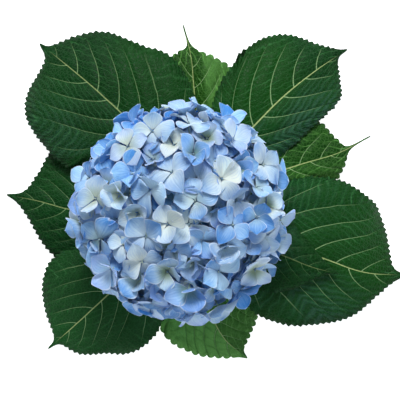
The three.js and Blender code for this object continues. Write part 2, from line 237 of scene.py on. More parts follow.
class Paint:
    """One material's nodes."""

    def __init__(self, name: str) -> None:
        """Starts a material with only its output.

        Args:
            name: the material's name.
        """
        self.material = bpy.data.materials.new(name)
        self.material.use_nodes = True
        self.tree = self.material.node_tree
        self.tree.nodes.clear()
        self.output = self.tree.nodes.new("ShaderNodeOutputMaterial")

    def node(self, kind: str, settings: dict[str, Any], values: dict[Any, Any]) -> bpy.types.Node:
        """Adds a node.

        Args:
            kind: the node's type.
            settings: properties, which are set first.
            values: numbers, colours, sockets or signals for its inputs, by name or index.

        Returns:
            The node.
        """
        made = self.tree.nodes.new(kind)
        for key, setting in settings.items():
            setattr(made, key, setting)
        for key, value in values.items():
            socket = made.inputs[key]
            value = value.socket if isinstance(value, Signal) else value
            if isinstance(value, bpy.types.NodeSocket):
                self.tree.links.new(value, socket)
            else:
                socket.default_value = value
        return made

    def signal(self, kind: str, settings: dict[str, Any], values: dict[Any, Any]) -> Signal:
        """Adds a node and gives its first output."""
        return Signal(self, self.node(kind, settings, values).outputs[0])

    def coordinates(self) -> bpy.types.NodeSocket:
        """Gives the Object coordinates, in metres."""
        return self.node("ShaderNodeTexCoord", {}, {}).outputs["Object"]

    def noise(self, where: Any, scale: float, detail: float = 2.0, rough: float = 0.5) -> Signal:
        """Gives a cloudy pattern from 0 to 1."""
        values = {"Vector": where, "Scale": scale, "Detail": detail, "Roughness": rough}
        return self.signal("ShaderNodeTexNoise", {}, values)

    def parts(self, vector: bpy.types.NodeSocket) -> list[Signal]:
        """Splits a vector into its three numbers."""
        made = self.node("ShaderNodeSeparateXYZ", {}, {0: vector})
        return [Signal(self, socket) for socket in made.outputs]

    def layer(self, name: str) -> list[Signal]:
        """Gives the two numbers of a UV layer."""
        made = self.node("ShaderNodeUVMap", {"uv_map": name}, {})
        return self.parts(made.outputs[0])[:2]

    def tints(self, name: str) -> list[Signal]:
        """Gives the four numbers of a colour attribute."""
        made = self.node("ShaderNodeAttribute", {"attribute_name": name}, {})
        return [*self.parts(made.outputs["Vector"]), Signal(self, made.outputs["Alpha"])]

    def mix(self, share: Any, first: Any, second: Any, blend: str = "MIX") -> bpy.types.NodeSocket:
        """Mixes two colours by a share."""
        settings = {"data_type": "RGBA", "blend_type": blend}
        return self.node("ShaderNodeMix", settings, {0: share, 6: first, 7: second}).outputs[2]

    def bump(self, height: Signal, distance: float, strength: float = 1.0) -> bpy.types.NodeSocket:
        """Turns a height from 0 to 1 into a normal; distance is the height's depth in metres."""
        values = {"Height": height, "Distance": distance, "Strength": strength}
        return self.node("ShaderNodeBump", {}, values).outputs[0]

    def dress(self, values: dict[str, Any]) -> bpy.types.Material:
        """Ends the material with one Principled shader.

        Args:
            values: the shader's inputs by name.

        Returns:
            The material.
        """
        shader = self.node("ShaderNodeBsdfPrincipled", {}, values)
        self.tree.links.new(shader.outputs[0], self.output.inputs[0])
        return self.material


def rgb(red: float, green: float, blue: float) -> Colour:
    """Gives an opaque colour from linear red, green and blue."""
    return (red, green, blue, 1.0)


@dataclass(frozen=True)
class SepalFinish:
    """The thin, finely veined sepals, from periwinkle blue to cream."""

    name: str = "sepal"
    deep: Colour = rgb(0.045, 0.260, 0.72)
    light: Colour = rgb(0.40, 0.68, 0.99)
    violet: Colour = rgb(0.37, 0.49, 0.94)
    cream: Colour = rgb(0.83, 0.92, 0.84)
    hollow: Colour = rgb(0.16, 0.24, 0.055)
    # the colour of the painted edge highlight
    rim: Colour = rgb(0.74, 0.82, 0.97)

    def material(self) -> bpy.types.Material:
        """Builds the material.

        Returns:
            The material.
        """
        paint = Paint(self.name)
        where = paint.coordinates()
        across, along = paint.layer("blade")
        tone, cream, violet, hollow = paint.tints("tint")
        side = (across * 2 - 1).size()
        cloud = paint.noise(where, 110.0, 4.0, 0.6)
        fibres = {0: across * 15, 1: along * 1.6, 2: tone * 9 + cream * 5}
        streak = paint.noise(paint.node("ShaderNodeCombineXYZ", {}, fibres).outputs[0], 1.0, 3.0)
        fan = across * 9 + streak * 0.6
        line = ((fan.fract() - 0.5).size() * 2).eased(0.0, 0.42, 1.0, 0.0)
        line = line * along.eased(0.05, 0.4) * (1 - along.eased(0.75, 1.0))
        tone = tone * 0.9 + cloud * 1.1 + (streak - 0.5) * 0.9 - 0.24 - along * 0.45
        body = paint.mix(tone, self.deep, self.light)
        body = paint.mix(violet * along.eased(0.2, 0.8), body, self.violet)
        uneven = (cloud - 0.5) * 0.7 + (streak - 0.5) * 0.4
        whitening = cream * (1.5 - along * (1.35 - cream * cream * 0.9) + uneven)
        body = paint.mix(whitening.at_most(1.0), body, self.cream)
        body = paint.mix(hollow * along.eased(0.1, 0.62, 1.0, 0.0), body, self.hollow)
        # Painted edge highlight: a pale band along the margin and tip, where light catches the thin
        # sepal.
        edge = side.eased(0.84, 1.0).at_least(along.eased(0.9, 1.0)) * 0.75
        body = paint.mix(edge, body, self.rim)
        body = paint.mix(line * 0.13, body, self.deep)
        normal = paint.bump(line * 0.3 + streak * 0.9, 0.0004)
        return paint.dress({
            "Base Color": body,
            "Roughness": 0.5 + cloud * 0.14,
            "Subsurface Weight": 0.15,
            "Subsurface Radius": (0.6, 0.8, 1.0),
            "Subsurface Scale": 0.0015,
            "Specular IOR Level": 0.3,
            "Sheen Weight": 0.08,
            "Normal": normal,
        })


@dataclass(frozen=True)
class BudFinish:
    """The tiny closed buds in the middle of the florets."""

    name: str = "bud"
    shade: Colour = rgb(0.10, 0.20, 0.34)
    light: Colour = rgb(0.42, 0.52, 0.45)

    def material(self) -> bpy.types.Material:
        """Builds the material.

        Returns:
            The material.
        """
        paint = Paint(self.name)
        where = paint.coordinates()
        cloud = paint.noise(where, 500.0, 2.0)
        body = paint.mix(cloud.eased(0.35, 0.65), self.shade, self.light)
        normal = paint.bump(cloud, 0.0001)
        return paint.dress({"Base Color": body, "Roughness": 0.5, "Normal": normal})


@dataclass(frozen=True)
class StalkFinish:
    """Green pedicels, rays and stem, with fine lengthwise streaks and pale lenticels."""

    name: str
    body: Colour
    light: Colour
    spots: float = 0.0

    def material(self) -> bpy.types.Material:
        """Builds the material.

        Returns:
            The material.
        """
        paint = Paint(self.name)
        where = paint.coordinates()
        cloud = paint.noise(where, 120.0, 4.0)
        fine = paint.noise(where, 900.0, 2.0)
        body = paint.mix(cloud.eased(0.3, 0.7), self.body, self.light)
        dots = paint.noise(where, 620.0, 0.0).eased(0.66, 0.72) * self.spots
        body = paint.mix(dots, body, rgb(0.55, 0.5, 0.32))
        normal = paint.bump(fine + dots, 0.0002)
        return paint.dress({"Base Color": body, "Roughness": 0.42 + cloud * 0.15, "Normal": normal})


@dataclass(frozen=True)
class LeafFinish:
    """A glossy leaf, quilted between sunken pale veins, with painted light, painted sheen and painted
    shade mixed into its colour.
    """

    name: str
    dark: Colour
    green: Colour
    grass: Colour
    # the colour of the painted light on lit parts, and of the finest veins
    bright: Colour
    # the colour of the painted sheen: a glint of soft light on the leaf
    painted_sheen: Colour
    vein: Colour = rgb(0.31, 0.48, 0.21)
    rib: Colour = rgb(0.44, 0.55, 0.21)
    gloss: float = 0.36

    def material(self) -> bpy.types.Material:
        """Builds the material.

        Returns:
            The material.
        """
        paint = Paint(self.name)
        where = paint.coordinates()
        phase, run = paint.layer("blade")
        reach, across = paint.layer("rib")
        lit, sheen, along, shade = paint.tints("tint")
        across = (across * 2 - 1).size()
        reach = (reach * 2 - 1).size() * LeafBlade.RIB_SPAN
        run = run * LeafBlade.RUN_SPAN
        wander = paint.noise(where, 60.0, 2.0)
        cloud = paint.noise(where, 24.0, 3.0)
        phase = phase * LeafBlade.PHASE_SPAN + (wander - 0.5) * 0.22 * across
        gap = 0.5 - (phase.fract() - 0.5).size()
        fade = 1 - across.eased(0.72, 0.97)
        vein = gap.eased(0.011, 0.029, 1.0, 0.0) * fade * (1 - along.eased(0.84, 0.9))
        rib = (reach / (0.95 - along * 0.6)).eased(0.4, 1.0, 1.0, 0.0)
        rib = rib * (1 - along.eased(0.78, 0.95))
        drift = paint.noise(where, 90.0, 1.0) * 1.4 + phase.floor() * 0.37
        rung = run * 0.18 + phase.fract() * 1.5 + drift
        ladder = (rung.fract() - 0.5).size() * 2
        rungs = ladder.eased(0.0, 0.3, 1.0, 0.0) * (1 - gap.eased(0.1, 0.5) * 0.5)
        rungs = rungs * (0.25 + wander.eased(0.38, 0.66) * 0.9)
        glint_bands = ladder.eased(0.15, 0.9, 1.0, 0.0)
        cells = self._net(paint, where)
        patch = paint.noise(where, 11.0, 1.0)
        fine = paint.noise(where, 190.0, 3.0)
        body = paint.mix(cloud.eased(0.3, 0.7), self.dark, self.green)
        body = paint.mix(patch.eased(0.42, 0.68) * 0.6, body, self.grass)
        # Painted light: the lit halves and fold planes turn towards the bright colour.
        body = paint.mix((lit * (0.75 + cloud * 0.5)).at_most(1.0), body, self.bright)
        # Painted shadow: on the lit parts the colour drops back to green along the veins and the finest
        # veins.
        vein_shadow = gap.eased(0.0, 0.14, 1.0, 0.0) * 0.55 + ladder.eased(0.0, 0.3, 1.0, 0.0) * 0.35
        body = paint.mix(lit.at_most(1.0) * vein_shadow, body, self.green)
        # Painted shade: shaded leaves darken towards the dark green, and their veins and rib dim with it.
        body = paint.mix(shade, body, self.dark)
        # Painted sheen: a glint of soft light, strongest in bands between the finest veins, mixed into
        # the colour.
        body = paint.mix((sheen * (0.25 + glint_bands)).at_most(1.0), body, self.painted_sheen)
        body = paint.mix((1 - cells) * 0.16, body, self.bright)
        body = paint.mix(rungs * 0.75 * (1 - shade), body, self.bright)
        body = paint.mix((fine - 0.4).at_least(0.0) * 0.9, body, self.green)
        body = paint.mix(vein * (0.95 - across * 0.6) * (1 - shade), body, self.vein)
        body = paint.mix(rib * (0.95 - shade), body, self.rib)
        quilt = gap.eased(0.0, 0.3) * fade
        height = quilt * 0.5 + cells * 0.22 + fine * 0.16 - rungs * 0.22 - rib * 0.2
        return paint.dress({
            "Base Color": body,
            "Roughness": self.gloss + fine * 0.16 + vein * 0.1,
            "Specular IOR Level": 0.1,
            "Normal": paint.bump(height, 0.0014, 0.85),
        })

    @staticmethod
    def _net(paint: Paint, where: bpy.types.NodeSocket) -> Signal:
        """Gives the net of the finest veins: 0 on a vein and 1 between them."""
        settings = {"feature": "DISTANCE_TO_EDGE"}
        net = paint.signal("ShaderNodeTexVoronoi", settings, {"Vector": where, "Scale": 420.0})
        return net.eased(0.0, 0.2)


@dataclass(frozen=True)
class FloorFinish:
    """A plain pale table, lit a little from within."""

    name: str = "table"
    glow: float = 0.95

    def material(self) -> bpy.types.Material:
        """Builds the material.

        Returns:
            The material.
        """
        paint = Paint(self.name)
        cloud = paint.noise(paint.coordinates(), 3.0)
        body = paint.mix(cloud, rgb(0.93, 0.93, 0.93), rgb(0.95, 0.95, 0.95))
        return paint.dress({
            "Base Color": body,
            "Roughness": 0.8,
            "Specular IOR Level": 0.2,
            "Emission Color": body,
            "Emission Strength": self.glow,
        })


class Finishes:
    """Every material of the flower, built once."""

    def __init__(self) -> None:
        """Builds the materials."""
        self.sepal = SepalFinish().material()
        self.bud = BudFinish().material()
        self.pedicel = StalkFinish("pedicel", rgb(0.30, 0.45, 0.30), rgb(0.45, 0.60, 0.42)).material()
        self.ray = StalkFinish("ray", rgb(0.24, 0.38, 0.12), rgb(0.40, 0.52, 0.22)).material()
        self.stem = StalkFinish("stem", rgb(0.12, 0.24, 0.05), rgb(0.25, 0.38, 0.11), 0.7).material()
        self.pith = StalkFinish("pith", rgb(0.55, 0.60, 0.36), rgb(0.72, 0.74, 0.52)).material()
        self.leaf = LeafFinish(
            "leaf",
            dark=rgb(0.001, 0.022, 0.003),
            green=rgb(0.002, 0.050, 0.006),
            grass=rgb(0.007, 0.062, 0.002),
            bright=rgb(0.036, 0.165, 0.042),
            # the painted sheen's colour
            painted_sheen=rgb(0.028, 0.090, 0.054),
        ).material()
        self.young_leaf = LeafFinish(
            "young_leaf",
            dark=rgb(0.004, 0.038, 0.002),
            green=rgb(0.010, 0.070, 0.004),
            grass=rgb(0.020, 0.096, 0.003),
            # the painted light's colour on the young leaves' lit halves, and of their finest veins
            bright=rgb(0.150, 0.400, 0.085),
            # the painted sheen's colour
            painted_sheen=rgb(0.050, 0.100, 0.065),
            gloss=0.4,
        ).material()


# ---- Mesh tools -----------------------------------------------------------------------------
def grid(mesh: bmesh.types.BMesh, columns: int, rows: int) -> list[tuple[Any, int, int]]:
    """Adds a flat grid to be shaped.

    Args:
        mesh: the mesh to add to.
        columns: how many faces across.
        rows: how many faces along.

    Returns:
        Each vertex with its column and row.
    """
    made = bmesh.ops.create_grid(mesh, x_segments=columns, y_segments=rows, size=1.0)["verts"]
    return [
        (vert, round((vert.co.x + 1) / 2 * columns), round((vert.co.y + 1) / 2 * rows))
        for vert in made
    ]


def paint_faces(faces: Iterable[bmesh.types.BMFace], slot: int) -> None:
    """Smooths faces and gives them a material.

    Args:
        faces: the faces.
        slot: the material's index.
    """
    for face in faces:
        face.material_index = slot
        face.smooth = True


def faces_of(verts: Iterable[bmesh.types.BMVert]) -> list[bmesh.types.BMFace]:
    """Gives the faces that meet at some vertices."""
    return list({face for vert in verts for face in vert.link_faces})


@dataclass(frozen=True)
class Tube:
    """A closed tube along a path, in millimetres, with a material's index."""

    path: Sequence[Vector]
    radii: Sequence[float]
    sides: int
    slot: int = 0
    flatten: float = 1.0

    def add(self, mesh: bmesh.types.BMesh, where: Frame) -> None:
        """Adds the tube to a mesh.

        Args:
            mesh: the mesh to add to.
            where: the frame.
        """
        path = [where.place(spot) for spot in self.path]
        radii = [radius * MM for radius in self.radii]
        cells = grid(mesh, self.sides, len(path) - 1)
        verts = [vert for vert, _, _ in cells]
        frames = self._frames(path)
        for vert, column, row in cells:
            turn = column / self.sides * math.tau
            point, sideways, upward = frames[row]
            offset = sideways * math.cos(turn) + upward * math.sin(turn)
            offset.z *= self.flatten
            vert.co = point + offset * radii[row]
        paint_faces(faces_of(verts), self.slot)
        bmesh.ops.remove_doubles(mesh, verts=verts, dist=min(radii) * 0.05)
        kept = [vert for vert in verts if vert.is_valid]
        rims = {edge for vert in kept for edge in vert.link_edges if edge.is_boundary}
        for face in bmesh.ops.holes_fill(mesh, edges=list(rims), sides=0)["faces"]:
            face.material_index = self.slot
        bmesh.ops.recalc_face_normals(mesh, faces=faces_of(kept))

    @staticmethod
    def _frames(path: Sequence[Vector]) -> list[tuple[Vector, Vector, Vector]]:
        """Gives each point of a path with two directions square to the path there.

        Args:
            path: the points, in metres.

        Returns:
            Each point, its sideways direction and its upward one.
        """
        level = abs((path[1] - path[0]).normalized().x) < 0.8
        first = Vector((1, 0, 0)) if level else Vector((0, 1, 0))
        frames = []
        for index, point in enumerate(path):
            ahead = path[min(index + 1, len(path) - 1)] - path[max(index - 1, 0)]
            run = ahead.normalized()
            first = (first - run * first.dot(run)).normalized()
            frames.append((point, first.copy(), run.cross(first)))
        return frames


def shown(name: str, data: Any) -> bpy.types.Object:
    """Puts an object into the scene.

    Args:
        name: its name.
        data: its mesh, lamp or camera.

    Returns:
        The object.
    """
    made = bpy.data.objects.new(name, data)
    bpy.context.scene.collection.objects.link(made)
    return made


def solid(
    mesh: bmesh.types.BMesh, name: str, materials: Sequence[bpy.types.Material]
) -> bpy.types.Object:
    """Turns a mesh into an object.

    Args:
        mesh: the mesh, in metres in the frame.
        name: the object's name.
        materials: its materials, in the order of their indices.

    Returns:
        The object.
    """
    data = bpy.data.meshes.new(name)
    mesh.to_mesh(data)
    mesh.free()
    for material in materials:
        data.materials.append(material)
    return shown(name, data)


def finished(piece: bpy.types.Object, node: str, levels: int = 0) -> bpy.types.Object:
    """Makes an object the piece that stands for a CAD node.

    Args:
        piece: the object.
        node: the CAD node that it replaces.
        levels: how finely a subdivision surface rounds it.

    Returns:
        The piece.
    """
    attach(piece, "root")
    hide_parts(node)
    if levels:
        surface = piece.modifiers.new("rounding", "SUBSURF")
        surface.levels = levels
        surface.render_levels = levels
    log.info("%s: %d faces", piece.name, len(piece.data.polygons))
    return piece


# ---- Leaves ---------------------------------------------------------------------------------
class Kind(Enum):
    """The two kinds of leaf."""

    DARK = "leaf"
    YOUNG = "young_leaf"


@dataclass(frozen=True)
class Levels:
    """Heights on the stem, in millimetres."""

    lowest: float = 9.0
    step: float = 6.3
    neck: float = 7.0
    top_leaf: int = 4

    def height(self, level: int) -> float:
        """Gives the height of a pair of leaves."""
        return self.lowest + level * self.step

    @property
    def stem_top(self) -> float:
        """Gives the height at which the stem divides."""
        return self.height(self.top_leaf) + self.neck


@dataclass(frozen=True)
class LeafShape:
    """One leaf's plan, its heights and its looks.

    An outline lists, from base to tip, hundredths of the midrib and of the half-width in turn.
    Rises are the midrib's height at four even steps, as shares of its level's height. A crease is
    (side, its distance from the midrib, its height): a fold that runs along one half. Pairs hold
    the left half's value and then the right one's.
    """

    node: str
    kind: Kind
    level: int
    azimuth: float
    base: float
    tip: float
    offsets: tuple[float, ...]
    rises: tuple[float, ...]
    halves: Pair
    droops: Pair
    left: tuple[int, ...]
    right: tuple[int, ...]
    veins: float = 9.5
    lag: float = 1.6
    teeth: int = 40
    tooth: float = 1.4
    quilt: float = 1.0
    crease: tuple[int, float, float] = (0, 0.0, 0.0)
    # lit, sheen and shade are painted light, painted sheen and painted shade in the blade's colour
    lit: Pair = (0.0, 0.0)
    sheen: Pair = (0.0, 0.0)
    shade: float = 0.0


LEAVES = (
    LeafShape(
        "leaf_top_small", Kind.YOUNG, 0, 89.5, 46, 140.6,
        offsets=(-10.5, -11, -8.6, -6.1), rises=(1.05, 1.2, 1, 0), halves=(22, 33), droops=(3, 5),
        left=(12, 55, 30, 90, 48, 100, 64, 95, 75, 76, 80, 40, 84, 6),
        right=(12, 60, 30, 97, 43, 100, 57, 97, 67, 74, 75, 30, 84, 5),
        veins=8.5, teeth=21, tooth=2.0, quilt=1.3, crease=(1, 9.0, 5.0), lit=(0.04, 0.42),
    ),
    LeafShape(
        "leaf_bottom_small", Kind.YOUNG, 0, -66, 44, 121.9,
        offsets=(-12.8, -11.5, -11.5, -9.3), rises=(1.05, 1.2, 0.9, 0), halves=(31, 38.5), droops=(4, 4),
        left=(10, 60, 30, 93, 50, 100, 68, 98, 83, 93, 89, 50, 93, 12),
        right=(10, 60, 22, 92, 38, 100, 55, 91, 68, 67, 80, 36, 92, 12),
        veins=8.5, teeth=20, tooth=2.0, quilt=1.3, lit=(0.3, 1.2),
    ),
    LeafShape(
        "leaf_side_small", Kind.YOUNG, 1, 21.6, 40.7, 153.7,
        offsets=(4, 1.3, -0.6, -2.9), rises=(1.02, 1.05, 0.72, 0), halves=(34, 26), droops=(5, 3),
        left=(10, 50, 25, 90, 42, 100, 58, 94, 71, 76, 78, 32, 83, 5),
        right=(10, 50, 25, 85, 42, 100, 56, 95, 68, 72, 76, 38, 84, 6),
        teeth=27, tooth=1.7, quilt=1.3, crease=(1, 8.0, 4.0), lit=(0.0, 0.13), shade=0.1,
    ),
    LeafShape(
        "leaf_left", Kind.DARK, 1, 174.7, 34.6, 133,
        offsets=(4.7, 6.4, 6.4, 2.4), rises=(1.02, 1.05, 0.72, 0), halves=(42, 42), droops=(5, 5),
        left=(10, 60, 25, 93, 38, 100, 52, 90, 68, 60, 79, 36, 90, 12),
        right=(10, 55, 30, 85, 50, 98, 64, 100, 74, 90, 79, 50, 87, 12),
        veins=8.5, teeth=32, sheen=(0.0, 0.12), shade=0.38,
    ),
    LeafShape(
        "leaf_lower_left", Kind.DARK, 2, -134.1, 40.7, 145.1,
        offsets=(6.5, 5, 3.6, 2.1), rises=(1.02, 1.04, 0.66, 0), halves=(46.5, 48), droops=(6, 6),
        left=(10, 50, 26, 90, 42, 100, 58, 93, 71, 67, 85, 40, 91, 8),
        right=(10, 50, 27, 80, 46, 97, 58, 98, 72, 80, 83, 48, 91, 8),
        veins=9.0, teeth=36, lit=(0.3, 0.3),
    ),
    LeafShape(
        "leaf_upper_right", Kind.DARK, 2, 44.3, 51.6, 175,
        offsets=(6.2, 7.6, 8.1, 5.3), rises=(1.02, 1.04, 0.66, 0), halves=(44, 31), droops=(6, 6),
        left=(10, 55, 25, 85, 45, 98, 62, 100, 76, 78, 86, 38, 95, 10),
        right=(8, 55, 20, 90, 40, 100, 60, 98, 79, 90, 86, 50, 92, 8),
        veins=8.0, teeth=40, sheen=(0.1, 0.9),
    ),
    LeafShape(
        "leaf_upper_left", Kind.DARK, 3, 130.3, 42, 165.8,
        offsets=(-4.3, -13.1, -10.8, -5.9), rises=(1.02, 1.04, 0.66, 0), halves=(58, 56), droops=(9, 8),
        left=(10, 55, 27, 93, 43, 100, 62, 97, 78, 85, 87, 60, 91, 14),
        right=(8, 60, 20, 88, 36, 100, 55, 83, 74, 67, 85, 40, 94, 7),
        veins=9.0, teeth=43, sheen=(0.4, 0.05), shade=0.32,
    ),
    LeafShape(
        "leaf_right", Kind.DARK, 3, -15.8, 41.7, 178.9,
        offsets=(0.1, -2.5, -4.9, -6.8), rises=(1.02, 1.04, 0.73, 0), halves=(58.7, 57), droops=(9, 9),
        left=(8, 45, 22, 82, 44, 100, 62, 93, 78, 81, 86, 53, 91, 10),
        right=(10, 60, 22, 93, 36, 100, 54, 92, 71, 67, 83, 29, 92, 9),
        veins=9.5, teeth=45, sheen=(0.15, 0.7),
    ),
    LeafShape(
        "leaf_inner", Kind.DARK, 4, -21.7, 48, 125.6,
        offsets=(-2.6, -2.6, -2.6, -2.6), rises=(1.02, 1.04, 0.97, 0.83), halves=(28, 30), droops=(2, 2),
        left=(10, 60, 25, 100, 40, 90, 53, 70, 68, 50, 81, 30, 93, 10),
        right=(10, 55, 25, 90, 40, 100, 52, 91, 65, 68, 76, 35, 89, 9),
        veins=8.5, teeth=24, tooth=1.0, quilt=0.8, sheen=(0.4, 0.4), shade=0.65,
    ),
)


class LeafBlade:
    """Builds one leaf: its blade, and the midrib that runs on into the petiole."""

    PHASE_SPAN = 16.0  # veins that the whole width of the first layer stands for
    RUN_SPAN = 200.0  # millimetres along a vein that the first layer's height stands for
    RIB_SPAN = 80.0  # millimetres that half of the second layer's width stands for
    SIGNS = (1, -1)  # which way the left half and the right one lie from the midrib
    TOOTH_ROWS = 5
    TOOTH_PEAK = 3 / 5
    TOOTH_START = 0.8  # where the teeth begin, from the midrib to the margin
    TOOTH_WIDTHS = (3.0, 9.0)  # half-widths between which the teeth grow
    HALF_COLUMNS = 13
    THICKNESS = 0.45
    PETIOLE_HALF = 2.0
    TIP_HALF = 0.25
    FIRST_PHASE = 0.35  # the vein count at the blade's base
    FULL_SWELL = 20.0  # the half-width at which the blade swells fully between its veins
    BELLY = 0.14  # how far each half arches, as a share of its width
    CREASE_REACH = 11.0
    WAVE_HEIGHT = 3.0
    WAVE_SCALE = 0.045
    LOWEST = 0.5  # the least height above the table
    SAMPLES = 240
    NEARBY = 0.004  # the share of the midrib over which its direction is taken
    STEM_REACH = 5.3
    PETIOLE = (2.0, 1.9, 1.75, 1.7, 1.75, 1.8)  # its radii, from the stem to the blade
    RIDGE = (1.75, 0.3)  # the midrib's radii at its base and its tip
    RIDGE_STEPS = 26
    RIDGE_END = 0.985

    def __init__(self, shape: LeafShape, levels: Levels, where: Frame) -> None:
        """Works out the midrib, the margins and where the veins start.

        Args:
            shape: the leaf.
            levels: the heights on the stem.
            where: the frame.
        """
        self.shape = shape
        self.where = where
        self.level = levels.height(shape.level)
        self.outward = on_ring(1.0, math.radians(shape.azimuth)).xy
        self.length = shape.tip - shape.base
        self.rows = shape.teeth * self.TOOTH_ROWS
        self.midrib = self._midrib()
        self.edges = [self._even(side, outline) for side, outline in enumerate((shape.left, shape.right))]
        self.starts = self._starts()

    def _midrib(self) -> list[Vector]:
        """Works out the midrib.

        Returns:
            Its points, evenly spaced from the blade's base to its tip.
        """
        quarters = len(self.shape.offsets)
        heights = [(share * self.level, 0.0) for share in self.shape.rises]
        points = []
        for quarter, offset in enumerate([*self.shape.offsets, 0.0]):
            along = self.shape.base + self.length * quarter / quarters
            height = through(heights, quarter / quarters)[0] + self.THICKNESS
            x = self.outward.x * along - self.outward.y * offset
            y = self.outward.y * along + self.outward.x * offset
            points.append(Vector((x, y, height)))
        return points

    def _spot(self, share: float, side: int, distance: float) -> Vector:
        """Gives a place beside the midrib.

        Args:
            share: the share of the midrib, from its base.
            side: 0 for the left half, 1 for the right one.
            distance: how far from the midrib.

        Returns:
            The place, in millimetres.
        """
        share = held(share)
        before = through(self.midrib, max(share - self.NEARBY, 0.0))
        ahead = through(self.midrib, min(share + self.NEARBY, 1.0)) - before
        sideways = Vector((-ahead.y, ahead.x, 0)).normalized()
        return through(self.midrib, share) + sideways * (self.SIGNS[side] * distance)

    def _even(self, side: int, outline: Sequence[int]) -> list[Pair]:
        """Gives one half's margin at each row, the rows evenly spaced along it.

        Args:
            side: 0 for the left half, 1 for the right one.
            outline: the half's outline, as its shape lists it.

        Returns:
            For each row, the share of the midrib and the distance from it.
        """
        half = self.shape.halves[side]
        inner = [(share / 100, width / 100 * half) for share, width in zip(outline[::2], outline[1::2])]
        margin = [(0.0, self.PETIOLE_HALF), *inner, (1.0, self.TIP_HALF)]
        steps = [through(margin, index / self.SAMPLES) for index in range(self.SAMPLES + 1)]
        places = [self._spot(share, side, distance).xy for share, distance in steps]
        lengths = [0.0]
        for before, after in zip(places, places[1:]):
            lengths.append(lengths[-1] + (after - before).length)
        rows = []
        index = 0
        for row in range(self.rows + 1):
            target = lengths[-1] * row / self.rows
            while index < self.SAMPLES - 1 and lengths[index + 1] < target:
                index += 1
            span = max(lengths[index + 1] - lengths[index], 1e-9)
            share = held((target - lengths[index]) / span)
            rows.append(tuple(steps[index].lerp(steps[index + 1], share)))
        return rows

    def _starts(self) -> list[float]:
        """Works out where the rows leave the midrib.

        Returns:
            The share of the midrib at which each row starts.
        """
        starts = [0.0]
        lag = self.shape.lag
        for row in range(1, self.rows + 1):
            lagging = [edge[row][0] - lag * edge[row][1] / self.length for edge in self.edges]
            start = 1.0 if row == self.rows else sum(lagging) / 2
            starts.append(max(start, starts[-1] + 0.0008))
        return [start / starts[-1] for start in starts]

    def _tooth(self, row: int, width: float) -> float:
        """Gives how far a margin's tooth stands out.

        Args:
            row: the row, from base to tip.
            width: the blade's half-width there.

        Returns:
            A share of the whole tooth.
        """
        part = (row % self.TOOTH_ROWS) / self.TOOTH_ROWS
        if self.shape.kind is Kind.YOUNG:
            saw = math.sin(math.pi * part) ** 0.8
        elif part <= self.TOOTH_PEAK:
            saw = part / self.TOOTH_PEAK
        else:
            saw = (1 - part) / (1 - self.TOOTH_PEAK)
        return saw * smooth(0.02, 0.12, row / self.rows) * smooth(*self.TOOTH_WIDTHS, width)

    def _phase(self, row: int, side: int) -> float:
        """Gives the vein count at a row; a whole number is a vein."""
        share = mixed(row / self.rows, self.starts[row], 0.5)
        return self.FIRST_PHASE + self.shape.veins * share + 0.5 * side

    def _relief(self, phase: float, across: float, width: float) -> float:
        """Gives how far the blade swells between two veins.

        Args:
            phase: the vein count.
            across: from 0 at the midrib to 1 at the margin.
            width: the blade's half-width there.

        Returns:
            The height of the swelling, in millimetres.
        """
        swell = abs(math.sin(math.pi * phase)) ** 0.7
        room = min(width / self.FULL_SWELL, 1.0)
        return self.shape.quilt * room * swell * across**0.6 * (1 - across**3 * 0.7)

    def point(self, row: int, side: int, across: float) -> Vector:
        """Gives a point of the blade's upper surface.

        Args:
            row: the row, from base to tip.
            side: 0 for the left half, 1 for the right one.
            across: from 0 at the midrib to 1 at the margin.

        Returns:
            The point, in millimetres.
        """
        shape = self.shape
        end, width = self.edges[side][row]
        lean = 0.3 * across + 0.7 * across**2
        share = mixed(self.starts[row], end, lean)
        spot = self._spot(share, side, across * max(width, self.TIP_HALF))
        if across > self.TOOTH_START:
            spot += self._saw(row, side) * smooth(self.TOOTH_START, 1.0, across)
        fullness = width / shape.halves[side]
        rise = -shape.droops[side] * across**2 * fullness
        rise += self._relief(self._phase(row, side), across, width)
        rise += self.BELLY * width * across * (1 - across)
        creased, fold, height = shape.crease
        if height and side == creased:
            distance = abs(across * width - fold)
            rise += height * max(0.0, 1 - distance / self.CREASE_REACH) * smooth(0.0, 0.5, fullness)
        wave = noise.noise(Vector((spot.x, spot.y, 3.7 * shape.level)) * self.WAVE_SCALE)
        rise += self.WAVE_HEIGHT * wave * across**2 * fullness
        spot.z = max(spot.z + rise, self.LOWEST)
        return spot

    def _saw(self, row: int, side: int) -> Vector:
        """Gives how far the teeth shift the margin.

        Args:
            row: the row, from base to tip.
            side: 0 for the left half, 1 for the right one.

        Returns:
            The shift, in millimetres.
        """
        shape = self.shape
        near = [self.edges[side][max(min(row + step, self.rows), 0)] for step in (-3, 3)]
        before, after = (self._spot(share, side, distance) for share, distance in near)
        run = after - before
        out = Vector((-run.y, run.x, 0)).normalized() * self.SIGNS[side]
        width = self.edges[side][row][1]
        uneven = 1 + 0.5 * noise.noise(Vector((row * 0.21, side * 7.0, shape.azimuth)))
        inset = 0.5 * smooth(*self.TOOTH_WIDTHS, width)
        return out * (shape.tooth * (self._tooth(row, width) * uneven - inset))

